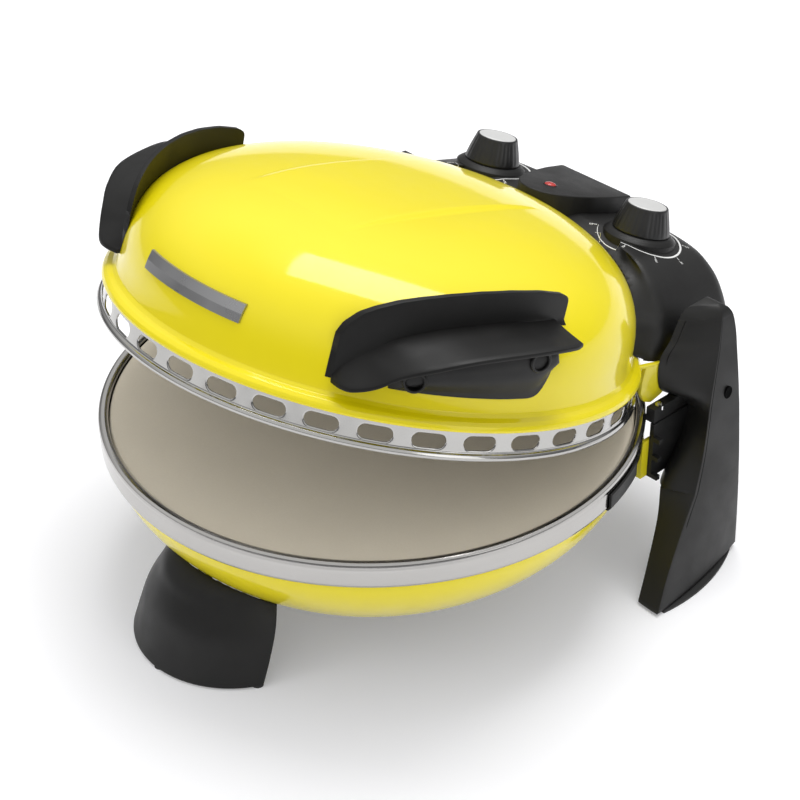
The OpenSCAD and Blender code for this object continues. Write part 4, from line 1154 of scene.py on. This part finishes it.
def arm():
    """The yellow hinge arm: a plate from the lid's flange to the pivot pin."""
    out = rounded([(98.5, 19.6), (98.5, 21.7), (123.0, 21.7), (127.5, 25.5), (129.5, 31.5), (134.3, 34.2), (139.5, 31.8),
                   (141.5, 26.5), (139.5, 18.0), (134.0, 8.0), (126.5, 0.5), (118.5, -4.0), (111.5, -2.6), (106.2, 3.2),
                   (104.6, 11.0), (104.6, 19.6)],
                  [0.4, 0.4, 1.0, 4, 4, 5, 5, 5, 8, 8, 6, 5, 4, 3, 2, 0.8], 4)
    E = extrude(out, 118.0, 121.0, bevel=0.5, steps=2)
    E.v = [(z, x, y) for x, y, z in E.v]
    # bush round the pin
    bush = rounded([(3.1, 0), (7.6, 0), (7.6, 1.6), (3.1, 1.6)], 0.3, 2)
    D = turned((116.4, PY, PZ - RING), (1, 0, 0), bush, 48)
    E.add(D.v, D.f)
    return E


am = arm()
# the hinge arms take the darker yellow, which is painted shade
piece("hinge_arm_plate_right", am, "L", "lid", YELLOW_PAINTED_SHADE, ["hinge_arm_right"], angle=40)
piece("hinge_arm_plate_left", mirrored(am), "L", "lid", YELLOW_PAINTED_SHADE, ["hinge_arm_left"], angle=40)

lg = leg()
piece("leg_right", lg, "B", "base", BLACK_SOFT, ["rear_leg_right"], angle=30, bevel=0.8, seg=3, bevel_angle=50)
piece("leg_left", mirrored(lg), "B", "base", BLACK_SOFT, ["rear_leg_left"], angle=30, bevel=0.8, seg=3, bevel_angle=50)

# sunk screws in the legs' outer faces, painted near-black as the shade inside their recesses
LS = Build()
D = turned((136.45, 148.6, 8.8), (1, 0, 0), rounded([(0, 0), (1.7, 0), (1.7, 9.0), (3.3, 9.6), (3.3, 11.3), (3.0, 11.42),
                                                    (2.1, 11.2), (1.2, 11.15), (0, 11.1)],
                                                   [0, 0.1, 0.2, 0.2, 0.2, 0.1, 0.2, 0.2, 0], 3), 40)
D.v = [(x, y, 8.8 + (z - 8.8) * 1.25) for x, y, z in D.v]
LS.add(D.v, D.f)
piece("leg_bolts_painted_shade", LS.both(), "B", "base", SCREW_RECESS_SHADE, ["leg_screws"], angle=35)

# ---------------------------------------------------------------- front foot
def foot():
    st = [(-104.5, -110.0, 61.0), (-90, -111.0, 55.8), (-75, -112.0, 50.0), (-62, -111.5, 43.0), (-52, -110.0, 37.0), (-40, -100.0, 26.0)]
    c = smooth_curve(st, 200)[::-1]

    def at(z, inset=0.0):
        return float(np.interp(-z, -c[:, 0], c[:, 1])), float(np.interp(-z, -c[:, 0], c[:, 2])) - inset

    def back(z):
        return -137.5 + (z + 107) * 26 / 49 if z < -58 else -111.5
    def skin(inset, nphi=81, nz=40):
        rows = []
        for u in np.linspace(-1, 1, nphi):
            col = []
            # the height at which this column meets the bowl
            top = None
            for z in np.linspace(-104.5, -38, 267):
                cy, r = at(z, inset)
                cosm = max(-1, min(1, (cy - back(z)) / r))
                ph = u * math.acos(cosm)
                x, y = r * math.sin(ph), cy - r * math.cos(ph)
                rb = bowl_r(min(max(-13.1 - z, 0), 62)) + 0.15
                if z > -75.3 and math.hypot(x, y) < rb:
                    break
                if z > -77.4 and math.hypot(x, y) < 98.5:
                    break
                top = z
            for t in np.linspace(0, 1, nz):
                z = -104.5 + (top + 104.5) * t
                cy, r = at(z, inset)
                cosm = max(-1, min(1, (cy - back(z)) / r))
                ph = u * math.acos(cosm)
                col.append((r * math.sin(ph), cy - r * math.cos(ph), z))
            rows.append(col)
        return np.array(rows)
    o, i = skin(0.0), skin(2.6)
    ring = np.concatenate([o, i[:, ::-1]], axis=1)
    B = Build().grid(ring, wrap_c=True)
    B.grid(np.stack([o[0], i[0]]))
    B.grid(np.stack([o[-1], i[-1]]))
    # the two screw posts inside
    for s in (-1, 1):
        prof = rounded([(4.0, -86), (5.5, -86), (5.5, -77.5), (4.0, -77.5)], 0.3, 2)
        D = turned((20 * s, -118, 0), (0, 0, 1), [(r, z) for r, z in prof], 32)
        B.add(D.v, D.f)
    return B


piece("foot_front_shell", foot(), "B", "base", BLACK_SOFT, ["front_foot"], angle=40, bevel=0.5, seg=2, bevel_angle=60)

# ---------------------------------------------------------------- carried-over CAD nodes
SHOWN = {
    "lower_reflector": ALU, "lower_element": TUBE, "element_clips_lower": ZINC, "lower_terminals": CERAMIC,
    "thermal_fuse": CERAMIC, "hinge_lugs": YELLOW_PAINTED_SHADE, "leg_bracket_right": BLACK_DARK, "leg_bracket_left": BLACK_DARK,
    "hinge_plate_right": BLACK_DARK, "hinge_plate_left": BLACK_DARK, "hinge_screws": CHROME, "leg_pads": RUBBER,
    "pivot_pin_right": ZINC, "pivot_pin_left": ZINC, "front_foot_pads": RUBBER,
    "foot_screws": ZINC, "upper_reflector": ALU, "lid_insulation": WOOL, "upper_element": TUBE,
    "element_clips_upper": ZINC, "upper_terminals": CERAMIC,
    "front_badge": PLATE, "housing_base_cover": BLACK_DARK, "pilot_lamp": NEON, "thermostat_body": ZINC,
    "timer_body": ZINC, "thermostat_bulb": COPPER, "terminal_block": CERAMIC, "cord_gland": RUBBER,
    "thermostat_shaft": ZINC, "timer_shaft": ZINC,
}
for name, m in SHOWN.items():
    ob = frame["nodes"][name]
    ob.data.materials.clear()
    ob.data.materials.append(m)

# ---------------------------------------------------------------- floor, light and camera
scene = bpy.context.scene
scene.view_settings.view_transform = "Standard"
scene.view_settings.look = "None"

fl = bpy.data.meshes.new("studio_floor")
s = 6.0
fl.from_pydata([(-s, -s, 0), (s, -s, 0), (s, s, 0), (-s, s, 0)], [], [(0, 1, 2, 3)])
floor = bpy.data.objects.new("studio_floor", fl)
scene.collection.objects.link(floor)
fmat = bpy.data.materials.new("studio_white")
fmat.use_nodes = True
fb = fmat.node_tree.nodes["Principled BSDF"]
fb.inputs["Base Color"].default_value = (0.86, 0.86, 0.875, 1)
fb.inputs["Roughness"].default_value = 0.7
fb.inputs["Specular IOR Level"].default_value = 0.1
fb.inputs["Emission Color"].default_value = (1, 1, 1, 1)
fb.inputs["Emission Strength"].default_value = 0.18
floor.data.materials.append(fmat)

world = bpy.data.worlds.new("studio")
scene.world = world
world.use_nodes = True
bg = world.node_tree.nodes["Background"]
wn, wl = world.node_tree.nodes, world.node_tree.links
wt = wn.new("ShaderNodeTexCoord")
ws = wn.new("ShaderNodeSeparateXYZ")
wl.new(wt.outputs["Generated"], ws.inputs[0])
wr = wn.new("ShaderNodeValToRGB")
wr.color_ramp.elements[0].position = 0.0
wr.color_ramp.elements[0].color = (0.22, 0.22, 0.225, 1)
wr.color_ramp.elements[1].position = 0.62
wr.color_ramp.elements[1].color = (1.12, 1.12, 1.12, 1)
mid = wr.color_ramp.elements.new(0.22)
mid.color = (0.38, 0.38, 0.385, 1)
wl.new(ws.outputs[2], wr.inputs[0])
wl.new(wr.outputs[0], bg.inputs["Color"])
bg.inputs["Strength"].default_value = 0.78


def area(name, pos, target, size, power, shape="RECTANGLE", size_y=None, spread=180):
    ld = bpy.data.lights.new(name, "AREA")
    ld.shape = shape
    ld.size = size
    if size_y:
        ld.size_y = size_y
    ld.energy = power
    ld.spread = math.radians(spread)
    ob = bpy.data.objects.new(name, ld)
    ob.location = pos
    ob.rotation_euler = (Vector(target) - Vector(pos)).to_track_quat("-Z", "Y").to_euler()
    scene.collection.objects.link(ob)
    return ob


area("key_overhead", (-0.2, 0.5, 1.9), (0, 0, 0.1), 1.1, 21, size_y=0.9)
fill = area("fill_front", (-0.9, -1.9, 1.2), (0, 0, 0.12), 1.0, 6, size_y=1.4)
fill.visible_glossy = False
area("side_right", (2.0, 0.1, 1.0), (0, 0, 0.12), 0.8, 4, size_y=1.2)

C_mm = Vector((742.437, -677.911, 680.458))
az, el, roll = math.radians(46.67), math.radians(34.08), math.radians(-0.13)
back = Vector((math.sin(az) * math.cos(el), -math.cos(az) * math.cos(el), math.sin(el)))
right = Vector((math.cos(az), math.sin(az), 0))
up = back.cross(right)
r2 = math.cos(roll) * right + math.sin(roll) * up
u2 = -math.sin(roll) * right + math.cos(roll) * up
cam_data = bpy.data.cameras.new("photo_camera")
cam_data.sensor_width = 36
cam_data.lens = 2049.5 / 800 * 36
cam_data.clip_start = 0.05
cam = bpy.data.objects.new("photo_camera", cam_data)
scene.collection.objects.link(cam)
M = Matrix((
    (r2.x, u2.x, back.x, C_mm.x * 0.001),
    (r2.y, u2.y, back.y, (C_mm.y - MID) * 0.001),
    (r2.z, u2.z, back.z, (C_mm.z + FOOT) * 0.001),
    (0, 0, 0, 1)))
cam.matrix_world = M
scene.camera = cam
